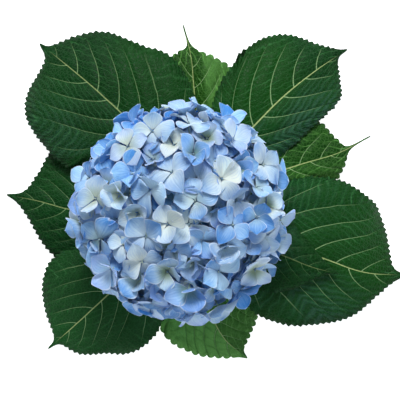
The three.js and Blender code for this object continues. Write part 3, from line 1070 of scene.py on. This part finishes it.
    def build(self, finishes: Finishes) -> bpy.types.Object:
        """Builds the leaf.

        Args:
            finishes: the materials.

        Returns:
            The piece.
        """
        mesh = bmesh.new()
        blade = mesh.loops.layers.uv.new("blade")
        rib = mesh.loops.layers.uv.new("rib")
        tint = mesh.verts.layers.float_color.new("tint")
        half = self.HALF_COLUMNS
        seat = {}
        for vert, column, row in grid(mesh, 2 * half, self.rows):
            side = 0 if column >= half else 1
            across = abs(column - half) / half
            seat[vert] = (column, row)
            vert.co = self.where.place(self.point(row, side, across))
            vert[tint] = self._tint(row, side, across)
        for face in mesh.faces:
            side = 0 if sum(seat[vert][0] for vert in face.verts) / 4 > half else 1
            face.smooth = True
            for loop in face.loops:
                self._lay(loop, seat[loop.vert], side, blade, rib)
        bmesh.ops.reverse_faces(mesh, faces=[face for face in mesh.faces if face.normal.z < 0])
        bmesh.ops.solidify(mesh, geom=list(mesh.faces), thickness=self.THICKNESS * MM)
        paint_faces(mesh.faces, 0)
        self._stalk(mesh)
        shape = self.shape
        material = finishes.leaf if shape.kind is Kind.DARK else finishes.young_leaf
        piece = solid(mesh, shape.node + "_blade", [material, finishes.ray])
        return finished(piece, shape.node)

    def _tint(self, row: int, side: int, across: float) -> Colour:
        """Gives the blade's looks at a point.

        Args:
            row: the row, from base to tip.
            side: 0 for the left half, 1 for the right one.
            across: from 0 at the midrib to 1 at the margin.

        Returns:
            How much painted light and painted sheen it has, its share of the midrib, and how much painted
            shade it has.
        """
        shape = self.shape
        width = self.edges[side][row][1]
        lit = shape.lit[side]
        creased, fold, height = shape.crease
        if height and side == creased:
            # Painted light stops at the crease, so only the part of the half beyond the fold is lit.
            lit *= smooth(fold - 3, fold + 3, across * width)
        along = row / self.rows
        drift = noise.noise(Vector((along * 3.1, side * 5.0 + across * 1.7, shape.azimuth)))
        # Painted sheen: patches of glint along the half, fading out towards the tip.
        sheen = shape.sheen[side] * smooth(-0.25, 0.3, drift) * (1 - smooth(0.6, 0.95, along))
        return (lit, sheen, self.starts[row], shape.shade)

    def _lay(self, loop: Any, seat: tuple[int, int], side: int, blade: Any, rib: Any) -> None:
        """Writes a corner's place in the vein pattern.

        Args:
            loop: the corner.
            seat: its column and row.
            side: 0 for the left half, 1 for the right one.
            blade: the layer that the side veins follow.
            rib: the layer that the midrib follows.
        """
        column, row = seat
        across = (column - self.HALF_COLUMNS) / self.HALF_COLUMNS
        width = self.edges[side][row][1]
        reach = across * width
        back = (self.edges[side][row][0] - self.starts[row]) * self.length
        run = abs(across) * math.hypot(width, back)
        loop[blade].uv = (self._phase(row, side) / self.PHASE_SPAN, run / self.RUN_SPAN)
        loop[rib].uv = ((reach / self.RIB_SPAN + 1) / 2, (across + 1) / 2)

    def _stalk(self, mesh: bmesh.types.BMesh) -> None:
        """Adds the petiole and the ridge that the midrib makes under the blade.

        Args:
            mesh: the leaf's mesh.
        """
        root = Vector((*(self.outward * self.STEM_REACH), self.level))
        base = through(self.midrib, 0.0)
        radii = list(self.PETIOLE)
        path = [root.lerp(base, step / len(radii)) for step in range(len(radii))]
        for step in range(self.RIDGE_STEPS + 1):
            share = step / self.RIDGE_STEPS
            radius = mixed(*self.RIDGE, min(share * 1.06, 1.0) ** 0.7)
            sunk = (radius + self.THICKNESS * 0.4) * smooth(0.0, 0.1, share)
            path.append(through(self.midrib, share * self.RIDGE_END) - UP * sunk)
            radii.append(radius)
        for spot, radius in zip(path, radii):
            spot.z = max(spot.z, radius + 0.05)
        Tube(path, radii, sides=8, slot=1, flatten=0.9).add(mesh, self.where)


# ---- The head -------------------------------------------------------------------------------
@dataclass
class Floret:
    """One floret: its cyme, its direction on the head and how it opens."""

    cyme: int
    direction: Vector
    placed: bool = False
    cream: float = 0.0
    lift: float = 0.0


@dataclass(frozen=True)
class Head:
    """The dome of florets and how they crowd on it, in millimetres and degrees."""

    radius: float = 77.0
    rise: float = 49.0
    fall: float = 36.0
    clearance: float = 11.0
    lowest_polar: float = 112.0
    stand_polar: float = 106.0
    cymes: int = 38
    per_cyme: int = 3
    spacing: float = 20.4
    offset: float = 11.0
    rounds: int = 40
    give: float = 0.6
    outermost: float = 0.995
    side_rays: int = 6
    ray_polar: float = 60.0
    ray_reach: float = 0.44
    fork_reach: float = 0.7
    levels: Levels = Levels()

    @property
    def lowest_cosine(self) -> float:
        """Gives the height of the lowest direction."""
        return math.cos(math.radians(self.lowest_polar))

    @property
    def level(self) -> float:
        """Gives the height of the head's widest level."""
        top_leaf = self.levels.height(self.levels.top_leaf)
        return top_leaf + self.clearance - self.lowest_cosine * self.fall

    def point(self, direction: Vector) -> Vector:
        """Gives the place on the head's surface in a direction.

        Args:
            direction: a direction from the head's middle.

        Returns:
            The place, in millimetres.
        """
        rise = self.rise if direction.z > 0 else self.fall
        height = self.level + direction.z * rise
        return Vector((direction.x * self.radius, direction.y * self.radius, height))

    def direction(self, point: Vector) -> Vector:
        """Gives the direction in which the head's surface is nearest a point.

        Args:
            point: the point, in millimetres.

        Returns:
            The direction, never below the lowest floret's.
        """
        rise = self.rise if point.z > self.level else self.fall
        found = Vector((point.x / self.radius, point.y / self.radius, (point.z - self.level) / rise))
        found.normalize()
        if found.z < self.lowest_cosine:
            ring = math.sqrt(1 - self.lowest_cosine**2) / math.hypot(found.x, found.y)
            found = Vector((found.x * ring, found.y * ring, self.lowest_cosine))
        return found

    def normal(self, direction: Vector) -> Vector:
        """Gives the way that the head's surface faces.

        Args:
            direction: a direction from the head's middle.

        Returns:
            The way that the surface faces there.
        """
        rise = self.rise if direction.z > 0 else self.fall
        x, y = direction.x / self.radius, direction.y / self.radius
        return Vector((x, y, direction.z / rise)).normalized()

    def even(self, count: int, polar: float) -> list[Vector]:
        """Spreads directions evenly from the top.

        Args:
            count: how many.
            polar: the polar angle of the lowest, in degrees.

        Returns:
            The directions, in a spiral.
        """
        depth = 1 - math.cos(math.radians(polar))
        heights = [1 - depth * (index + 0.5) / count for index in range(count)]
        return [
            on_ring(math.sqrt(1 - height * height), index * GOLDEN_ANGLE, height)
            for index, height in enumerate(heights)
        ]

    def stands(self) -> list[Vector]:
        """Gives the directions of the cymes."""
        return self.even(self.cymes, self.stand_polar)

    def rays(self) -> list[Vector]:
        """Sets out the rays.

        Returns:
            Their directions, the middle one first.
        """
        polar = math.radians(self.ray_polar)
        turns = [index / self.side_rays * math.tau for index in range(self.side_rays)]
        return [UP.copy(), *(on_ring(math.sin(polar), turn, math.cos(polar)) for turn in turns)]

    def florets(self, placed: Sequence[tuple[float, float, float]]) -> list[Floret]:
        """Sets out every floret.

        Args:
            placed: the florets whose places are known, as x, y and how cream they are.

        Returns:
            The florets, in the order of their cymes.
        """
        loose = []
        for cyme, direction in enumerate(self.stands()):
            for index in range(self.per_cyme):
                turn = index / self.per_cyme * math.tau + cyme * GOLDEN_ANGLE
                spread = aside(self.normal(direction), turn) * self.offset
                loose.append(Floret(cyme, self.direction(self.point(direction) + spread)))
        for x, y, cream in placed:
            reach = min(math.hypot(x, y) / self.radius, self.outermost)
            target = on_ring(reach, math.atan2(y, x), math.sqrt(1 - reach * reach))
            free = [floret for floret in loose if not floret.placed]
            nearest = min(free, key=lambda floret: (floret.direction - target).length)
            nearest.direction, nearest.placed, nearest.cream = target, True, cream
        self._crowd(loose)
        return loose

    def _crowd(self, florets: Sequence[Floret]) -> None:
        """Lets the florets push one another apart.

        Args:
            florets: all of them. The placed ones stay where they are.
        """
        for _ in range(self.rounds):
            points = [self.point(floret.direction) for floret in florets]
            pushes = [Vector((0, 0, 0)) for _ in florets]
            for a, one in enumerate(points):
                for b in range(a + 1, len(points)):
                    between = one - points[b]
                    distance = between.length
                    if 0 < distance < self.spacing:
                        between *= (self.spacing - distance) / distance / 2
                        pushes[a] += between
                        pushes[b] -= between
            for floret, point, push in zip(florets, points, pushes):
                if not floret.placed:
                    floret.direction = self.direction(point + push * self.give)


# Florets whose places are known, and how cream they are. The rest find their own.
PLACED = (
    (-9, -9, 0.95), (6, -9, 0.85), (11, 8, 0.3), (13, 23, 0.35), (29, 23, 0.9), (25, 3, 0.3),
    (-21, 15, 0.35), (37, 51, 0.45), (-20, 57, 0.55), (54, -4, 0.15), (-27, -35, 0.35), (-49, -41, 0.4),
    (27, -42, 0.3), (53, -41, 0.1), (6, -55, 0.1), (-70, 25, 0.25), (-60, 9, 0.3), (73, -6, 0.15),
    (-22, -68, 0.35),
)


@dataclass(frozen=True)
class SepalShape:
    """A sepal's outline, in millimetres: broad, blunt and narrowed to a claw at its base."""

    throat: float = 1.0
    length: float = 14.9
    half: float = 9.0
    claw: float = 0.55
    widest: float = 0.6
    columns: int = 4
    rows: int = 6
    thickness: float = 0.28

    def half_width(self, share: float) -> float:
        """Gives the half-width.

        Args:
            share: the share of the length, from the claw.

        Returns:
            The half-width, in millimetres.
        """
        if share < self.widest:
            part = share / self.widest
            return mixed(self.claw, self.half, part * (1.3 - 0.3 * part))
        part = (share - self.widest) / (1 - self.widest)
        return self.half * max(1 - part**1.65, 0.0) ** 0.72 + 0.05


@dataclass
class Pose:
    """How one sepal is held, in radians and millimetres.

    It turns round the floret, pitches up, rolls about its length, curls back at its tip, channels
    along its middle, ruffles at its margin in a phase, and is skewed, sized and lifted.
    """

    turn: float
    pitch: float
    roll: float
    curl: float
    channel: float
    ruffle: float
    phase: float
    skew: float
    size: float
    lift: float


class FloretMaker:
    """Builds florets and their stalks into a cyme's mesh."""

    SEPALS = 4
    BUD_LIFT = 0.9
    BUD_RADIUS = 0.85
    BUD_HEIGHT = 1.1
    STALK_STEPS = 5

    def __init__(self, shape: SepalShape, where: Frame) -> None:
        """Keeps the sepal's shape and the frame."""
        self.shape = shape
        self.where = where

    def sepal(self, mesh: bmesh.types.BMesh, base: Matrix, pose: Pose, tint: tuple) -> None:
        """Adds one sepal.

        Args:
            mesh: the cyme's mesh.
            base: the floret's place: its axis along +Z.
            pose: how the sepal is held.
            tint: how light, cream and violet it is.
        """
        shape = self.shape
        layer = mesh.loops.layers.uv["blade"]
        colour = mesh.verts.layers.float_color["tint"]
        turn = Matrix.Rotation(pose.turn, 4, "Z")
        pitch = Matrix.Rotation(-pose.pitch, 4, "Y")
        roll = Matrix.Rotation(pose.roll, 4, "X")
        hold = base @ turn @ Matrix.Translation((shape.throat, 0, pose.lift)) @ pitch @ roll
        seat = {}
        for vert, column, row in grid(mesh, shape.columns, shape.rows):
            across = column / shape.columns * 2 - 1
            share = row / shape.rows
            share = share * (1.22 - 0.22 * share)
            width = shape.half_width(share) * pose.size
            x = shape.length * pose.size * share
            y = across * width + pose.skew * share * share
            rim = abs(across) ** 2 * smooth(0.1, 0.6, share)
            z = pose.curl * x * x / shape.length
            z += pose.channel * abs(y) ** 1.7 / 7.0
            wave = math.sin(5.5 * share + 2.2 * across + pose.phase)
            z += pose.ruffle * wave * max(rim, smooth(0.7, 1, share))
            z -= 0.3 * math.exp(-(y / 1.3) ** 2) * share * (1 - share) * 4
            vert.co = self.where.place(hold @ Vector((x, y, z)))
            vert[colour] = tint
            seat[vert] = (column / shape.columns, row / shape.rows)
        faces = faces_of(seat)
        for face in faces:
            for loop in face.loops:
                loop[layer].uv = seat[loop.vert]
        made = bmesh.ops.solidify(mesh, geom=faces, thickness=shape.thickness * MM)["geom"]
        paint_faces([item for item in [*faces, *made] if isinstance(item, bmesh.types.BMFace)], 0)

    def bud(self, mesh: bmesh.types.BMesh, centre: Vector, facing: Vector) -> None:
        """Adds a floret's small bud: a four-lobed egg.

        Args:
            mesh: the cyme's mesh.
            centre: its middle.
            facing: the way that its tip points.
        """
        made = bmesh.ops.create_uvsphere(mesh, u_segments=8, v_segments=6, radius=MM)["verts"]
        turn = facing.to_track_quat("Z", "Y").to_matrix()
        place = self.where.place(centre)
        for vert in made:
            lobe = self.BUD_RADIUS * (1 + 0.14 * math.cos(4 * math.atan2(vert.co.y, vert.co.x)))
            local = Vector((vert.co.x * lobe, vert.co.y * lobe, vert.co.z * self.BUD_HEIGHT))
            vert.co = place + turn @ local
        paint_faces(faces_of(made), 2)

    def floret(
        self, mesh: bmesh.types.BMesh, point: Vector, facing: Vector, cream: float, seed: int
    ) -> None:
        """Adds one floret: four sepals round a bud.

        Args:
            mesh: the cyme's mesh.
            point: its throat.
            facing: the way that it faces.
            cream: how cream it is.
            seed: of its own variation.
        """
        draw = random.Random(seed)
        base = Matrix.Translation(point) @ facing.to_track_quat("Z", "Y").to_matrix().to_4x4()
        spin = draw.uniform(0, math.tau)
        tone = draw.uniform(-0.1, 0.9)
        violet = max(0.0, draw.uniform(-1.4, 0.6))
        hollow = max(0.0, draw.uniform(-0.5, 0.95)) * (1 - cream)
        pale = max(cream, draw.uniform(-0.25, 0.85), 0.0)
        openness = draw.uniform(0.36, 1.05) * (1 - 0.72 * cream)
        size = draw.uniform(0.84, 1.08) + 0.1 * cream
        for index in range(self.SEPALS):
            inner = index % 2
            pose = Pose(
                turn=spin + index * math.tau / self.SEPALS + draw.uniform(-0.14, 0.14),
                pitch=openness + draw.uniform(-0.3, 0.3) * (1 - 0.5 * cream) - 0.03 * inner,
                roll=0.16 + draw.uniform(-0.28, 0.28),
                curl=draw.uniform(-0.75, 0.2),
                channel=draw.uniform(-0.8, 1.0),
                ruffle=draw.uniform(0.5, 1.45),
                phase=draw.uniform(0, math.tau),
                skew=draw.uniform(-2.4, 2.4),
                size=size * draw.uniform(0.86, 1.1),
                lift=0.5 * inner,
            )
            shade = min(max(tone + draw.uniform(-0.4, 0.4), 0.0), 1.0)
            tint = (shade, pale * draw.uniform(0.6, 1.0), violet, hollow * draw.uniform(0.6, 1.0))
            self.sepal(mesh, base, pose, tint)
        self.bud(mesh, base @ Vector((0, 0, self.BUD_LIFT)), facing)

    def stalk(
        self, mesh: bmesh.types.BMesh, low: Vector, high: Vector, leave: Vector, radii: Pair
    ) -> None:
        """Adds a stalk that bends to meet a direction.

        Args:
            mesh: the cyme's mesh.
            low: its lower end.
            high: its upper end.
            leave: the direction at its upper end.
            radii: at its lower and upper ends, in millimetres.
        """
        bend = high - leave * (high - low).length * 0.35
        steps = self.STALK_STEPS
        widths = [mixed(*radii, step / steps) for step in range(steps + 1)]
        Tube(arc(low, bend, high, steps), widths, sides=5, slot=1).add(mesh, self.where)


class Bloom:
    """Builds the head: its cymes and the rays that carry them."""

    FACING_SEED = 900
    FLORET_SEED = 100
    UNDER_SEED = 4000
    UNDER_FLORET_SEED = 5000
    NEAR = 25.0  # florets closer than this stand at different depths
    DEPTHS = (-6.0, -2.5, 0.5, 3.2)
    CLEAR = 3.0  # depths further apart than this don't crowd
    COVER = 2.5  # how far below a creamy floret its neighbours should stand
    PROUD = 0.2  # how strongly the florets prefer to stand proud
    APART = 1.4  # how strongly close florets lean away from each other
    GIRTH = (-3, -5.5, -3, 2, -5, -5, -3.5, -6, -3, -0.5, -1, 1)  # the rim's bulges, round the head
    SINK = 2.7  # how far the florets stand below the head's surface
    RIM_SINK = 2.9
    UNDER = SepalShape(length=14.0, half=8.8, columns=2, rows=5)
    UNDER_COUNT = 200  # small florets under the showy ones
    UNDER_POLAR = 100.0
    UNDER_DEPTH = 10.5
    STALK_RADII = (0.7, 0.55)
    UNDER_RADII = (0.6, 0.5)
    BRANCH_RADII = (0.95, 0.8)
    RAY_STEPS = 12
    RAY_RADII = (1.45, 1.2)
    KNOT = ((-1.6, 1.3), (-0.6, 2.3), (0.8, 2.7), (2.0, 2.2), (2.8, 1.0))  # (reach, radius)

    def __init__(self, head: Head, maker: FloretMaker, finishes: Finishes, where: Frame) -> None:
        """Sets out the florets and gives each a depth that differs from its neighbours'.

        Args:
            head: the dome.
            maker: what builds the showy florets.
            finishes: the materials.
            where: the frame.
        """
        self.head = head
        self.maker = maker
        self.finishes = finishes
        self.where = where
        self.under = FloretMaker(self.UNDER, where)
        self.florets = head.florets(PLACED)
        self.stands = head.stands()
        self.hub = Vector((0, 0, head.levels.stem_top))
        self._layer()

    def _layer(self) -> None:
        """Stands neighbouring florets at different depths, the creamy ones proud."""
        points = [self.head.point(floret.direction) for floret in self.florets]
        order = sorted(range(len(points)), key=lambda index: (-self.florets[index].cream, index))
        done: dict[int, float] = {}
        for index in order:
            near = [
                (depth, (points[index] - points[other]).length, self.florets[other].cream)
                for other, depth in done.items()
                if (points[index] - points[other]).length < self.NEAR
            ]
            done[index] = max(self.DEPTHS, key=lambda depth: self._freedom(depth, near))
            self.florets[index].lift = done[index]

    def _freedom(self, depth: float, near: Iterable[tuple[float, float, float]]) -> float:
        """Gives how free a depth is of the neighbours' depths; creamy neighbours stay uncovered.

        Args:
            depth: the depth.
            near: each neighbour's depth, its distance and how cream it is.

        Returns:
            A number that is higher for a freer depth.
        """
        clash = 0.0
        for other, distance, cream in near:
            crowding = max(0.0, self.CLEAR - abs(depth - other))
            crowding += cream**3 * max(0.0, depth - other + self.COVER)
            clash += crowding * (self.NEAR - distance)
        return depth * self.PROUD - clash

    def _girth(self, direction: Vector) -> float:
        """Gives how far the head's rim bulges.

        Args:
            direction: a direction from the head's middle.

        Returns:
            The bulge there, in millimetres.
        """
        turn = math.atan2(direction.y, direction.x) % math.tau / math.tau
        closed = [(bulge, 0.0) for bulge in (*self.GIRTH, self.GIRTH[0])]
        return through(closed, turn)[0]

    def _facing(self, index: int) -> Vector:
        """Gives the way that a floret faces: outwards, away from close neighbours, a little astray.

        Args:
            index: the floret's number.

        Returns:
            The direction.
        """
        floret = self.florets[index]
        draw = random.Random(self.FACING_SEED + index)
        normal = self.head.normal(floret.direction)
        lean = draw.uniform(0.0, 0.55) * (1 - 0.7 * floret.cream)
        astray = aside(normal, draw.uniform(0, math.tau)) * lean
        here = self.head.point(floret.direction)
        apart = Vector((0, 0, 0))
        for other in self.florets:
            between = here - self.head.point(other.direction)
            if 0 < between.length < self.head.spacing:
                apart += between.normalized() * (1 - between.length / self.head.spacing)
        return (normal + astray + apart * self.APART).normalized()

    def cyme(self, number: int, ray: Vector) -> bpy.types.Object:
        """Builds one cyme.

        Args:
            number: its number, from 0.
            ray: the direction of the ray that carries it.

        Returns:
            The piece.
        """
        mesh = bmesh.new()
        mesh.loops.layers.uv.new("blade")
        mesh.verts.layers.float_color.new("tint")
        head = self.head
        knot = self.hub.lerp(head.point(ray), head.ray_reach)
        fork = self.hub.lerp(head.point(self.stands[number]), head.fork_reach)
        heading = (fork - knot).normalized()
        self.maker.stalk(mesh, knot + heading * 2.0, fork, heading, self.BRANCH_RADII)
        for index, floret in enumerate(self.florets):
            if floret.cyme != number:
                continue
            normal = head.normal(floret.direction)
            facing = self._facing(index)
            rim = 1 - smooth(0.0, 0.65, floret.direction.z)
            sink = self.SINK + (self.RIM_SINK - self._girth(floret.direction)) * rim
            throat = head.point(floret.direction) + normal * (floret.lift - sink)
            self.maker.stalk(mesh, fork, throat + facing * 0.3, facing, self.STALK_RADII)
            self.maker.floret(mesh, throat, facing, floret.cream, self.FLORET_SEED + index)
        self._fill(mesh, number, fork)
        name = f"cyme_{number + 1:02d}"
        materials = [self.finishes.sepal, self.finishes.pedicel, self.finishes.bud]
        return finished(solid(mesh, name + "_florets", materials), name, levels=1)

    def _fill(self, mesh: bmesh.types.BMesh, number: int, fork: Vector) -> None:
        """Adds a cyme's small florets, which fill the gaps under the showy ones.

        Args:
            mesh: the cyme's mesh.
            number: the cyme's number, from 0.
            fork: where its stalks part.
        """
        for index, direction in enumerate(self.head.even(self.UNDER_COUNT, self.UNDER_POLAR)):
            nearest = min(self.stands, key=lambda stand: (stand - direction).length)
            if nearest is not self.stands[number]:
                continue
            draw = random.Random(self.UNDER_SEED + index)
            normal = self.head.normal(direction)
            first, second = across_of(normal)
            astray = first * draw.uniform(-0.4, 0.4) + second * draw.uniform(-0.4, 0.4)
            facing = (normal + astray).normalized()
            depth = self.UNDER_DEPTH + draw.uniform(-2.5, 9.0)
            throat = self.head.point(direction) - normal * depth
            self.maker.stalk(mesh, fork, throat + facing * 0.3, facing, self.UNDER_RADII)
            self.under.floret(mesh, throat, facing, 0.0, self.UNDER_FLORET_SEED + index)

    def ray(self, index: int, ray: Vector) -> bpy.types.Object:
        """Builds one ray and its knot.

        Args:
            index: its number, from 0.
            ray: its direction.

        Returns:
            The piece.
        """
        mesh = bmesh.new()
        knot = self.hub.lerp(self.head.point(ray), self.head.ray_reach)
        foot = self.hub + on_ring(0.0 if index == 0 else 3.0, math.atan2(ray.y, ray.x), 0.3)
        steps = self.RAY_STEPS
        path = arc(foot, foot + UP * 7.0, knot, steps)
        past = (knot - path[-2]).normalized()
        path = path[:-2] + [knot + past * reach for reach, _ in self.KNOT]
        radii = [mixed(*self.RAY_RADII, step / steps) for step in range(steps - 1)]
        radii += [radius for _, radius in self.KNOT]
        Tube(path, radii, sides=10).add(mesh, self.where)
        name = f"ray_{index + 1}"
        return finished(solid(mesh, name + "_branch", [self.finishes.ray]), name, levels=1)

    def build(self) -> None:
        """Builds every ray and cyme."""
        rays = self.head.rays()
        for index, ray in enumerate(rays):
            self.ray(index, ray)
        for number, stand in enumerate(self.stands):
            nearest = min(rays, key=lambda ray: (ray - stand).length)
            self.cyme(number, nearest)


# ---- The stem -------------------------------------------------------------------------------
@dataclass(frozen=True)
class Stem:
    """The short green stem, swollen where leaves leave it, with its cut end."""

    radius: float = 4.2
    swell: float = 0.9
    swell_length: float = 4.8
    foot: float = 0.12
    chamfer: float = 0.25
    sides: int = 20
    steps: int = 84
    levels: Levels = Levels()

    def build(self, finishes: Finishes, where: Frame) -> bpy.types.Object:
        """Builds the stem.

        Args:
            finishes: the materials.
            where: the frame.

        Returns:
            The piece.
        """
        mesh = bmesh.new()
        span = self.levels.stem_top - self.foot
        heights = [self.foot + span * step / self.steps for step in range(self.steps + 1)]
        radii = [self._radius(height) for height in heights]
        radii[0] -= self.chamfer
        Tube([Vector((0, 0, height)) for height in heights], radii, self.sides).add(mesh, where)
        ends = [face for face in mesh.faces if face.normal.z < -0.9]
        for face in ends:
            face.material_index = 1
        for inset in (0.7, 0.5):
            bmesh.ops.inset_region(mesh, faces=ends, thickness=inset * MM, depth=-0.06 * MM)
        return finished(solid(mesh, "stem_cut", [finishes.stem, finishes.pith]), "stem")

    def _radius(self, height: float) -> float:
        """Gives the stem's radius.

        Args:
            height: how high up the stem, in millimetres.

        Returns:
            The radius, in millimetres.
        """
        bulge = 0.0
        for level in range(self.levels.top_leaf + 1):
            distance = abs(height - self.levels.height(level)) / (self.swell_length / 2)
            bulge = max(bulge, 1 - smooth(0.2, 1.0, distance))
        flare = smooth(self.levels.stem_top - 4, self.levels.stem_top, height)
        return self.radius + self.swell * max(bulge, flare)


# ---- The studio -----------------------------------------------------------------------------
@dataclass(frozen=True)
class Lamp:
    """A soft square lamp that faces the flower, in metres and watts."""

    name: str
    place: tuple[float, float, float]
    size: float
    power: float
    colour: Colour
    aim: float = 0.05

    def hang(self) -> None:
        """Hangs the lamp."""
        data = bpy.data.lights.new(self.name, "AREA")
        data.size = self.size
        data.energy = self.power
        data.color = self.colour[:3]
        lamp = shown(self.name, data)
        lamp.location = self.place
        aim = Vector((0, 0, self.aim)) - Vector(self.place)
        lamp.rotation_euler = aim.to_track_quat("-Z", "Y").to_euler()


@dataclass(frozen=True)
class Studio:
    """The table, the soft lights and the camera that looks straight down.

    The camera sees view_width at the reference height, both in metres. The centre is the middle of
    its view, in millimetres from the stem.
    """

    distance: float = 1.5
    reference: float = 0.015
    view_width: float = 0.300
    centre: Pair = (13.9, 8.25)
    sensor: float = 36.0
    table_half: float = 3.0
    table_level: float = -0.0003
    sky: Colour = rgb(0.86, 0.93, 1.0)
    sky_strength: float = 0.28
    lamps: tuple[Lamp, ...] = (
        Lamp("key", (-0.1, 1.5, 1.6), 0.8, 42.0, rgb(1.0, 1.0, 1.0)),
        Lamp("fill", (0.8, -1.2, 1.6), 1.4, 8.0, rgb(0.72, 0.87, 1.0)),
    )

    def build(self, where: Frame) -> None:
        """Builds the studio round the flower.

        Args:
            where: the frame.
        """
        self._table()
        self._lights()
        self._camera(where)

    def _table(self) -> None:
        """Lays the table."""
        mesh = bmesh.new()
        grid(mesh, 8, 8)
        for vert in mesh.verts:
            x, y = vert.co.x * self.table_half, vert.co.y * self.table_half
            vert.co = Vector((x, y, self.table_level))
        solid(mesh, "table", [FloorFinish().material()])

    def _lights(self) -> None:
        """Hangs the lamps and lights the room."""
        for lamp in self.lamps:
            lamp.hang()
        world = bpy.data.worlds.new("room")
        bpy.context.scene.world = world
        world.use_nodes = True
        sky = world.node_tree.nodes["Background"]
        sky.inputs["Color"].default_value = self.sky
        sky.inputs["Strength"].default_value = self.sky_strength

    def _camera(self, where: Frame) -> None:
        """Sets the camera above the flower.

        Args:
            where: the frame.
        """
        data = bpy.data.cameras.new("camera")
        data.sensor_width = self.sensor
        data.lens = self.sensor * (self.distance - self.reference) / self.view_width
        data.clip_end = 20.0
        camera = shown("camera", data)
        spot = where.place(Vector((*self.centre, 0)))
        camera.location = Vector((spot.x, spot.y, self.distance))
        bpy.context.scene.camera = camera
        bpy.context.scene.view_settings.view_transform = "Standard"


def main() -> None:
    """Builds the studio, the leaves, the head and the stem."""
    logging.basicConfig(level=logging.INFO, format="%(name)s: %(message)s")
    where = Frame()
    Studio().build(where)
    finishes = Finishes()
    levels = Levels()
    for shape in LEAVES:
        LeafBlade(shape, levels, where).build(finishes)
    Bloom(Head(), FloretMaker(SepalShape(), where), finishes, where).build()
    Stem().build(finishes, where)


if __name__ == "__main__":
    main()
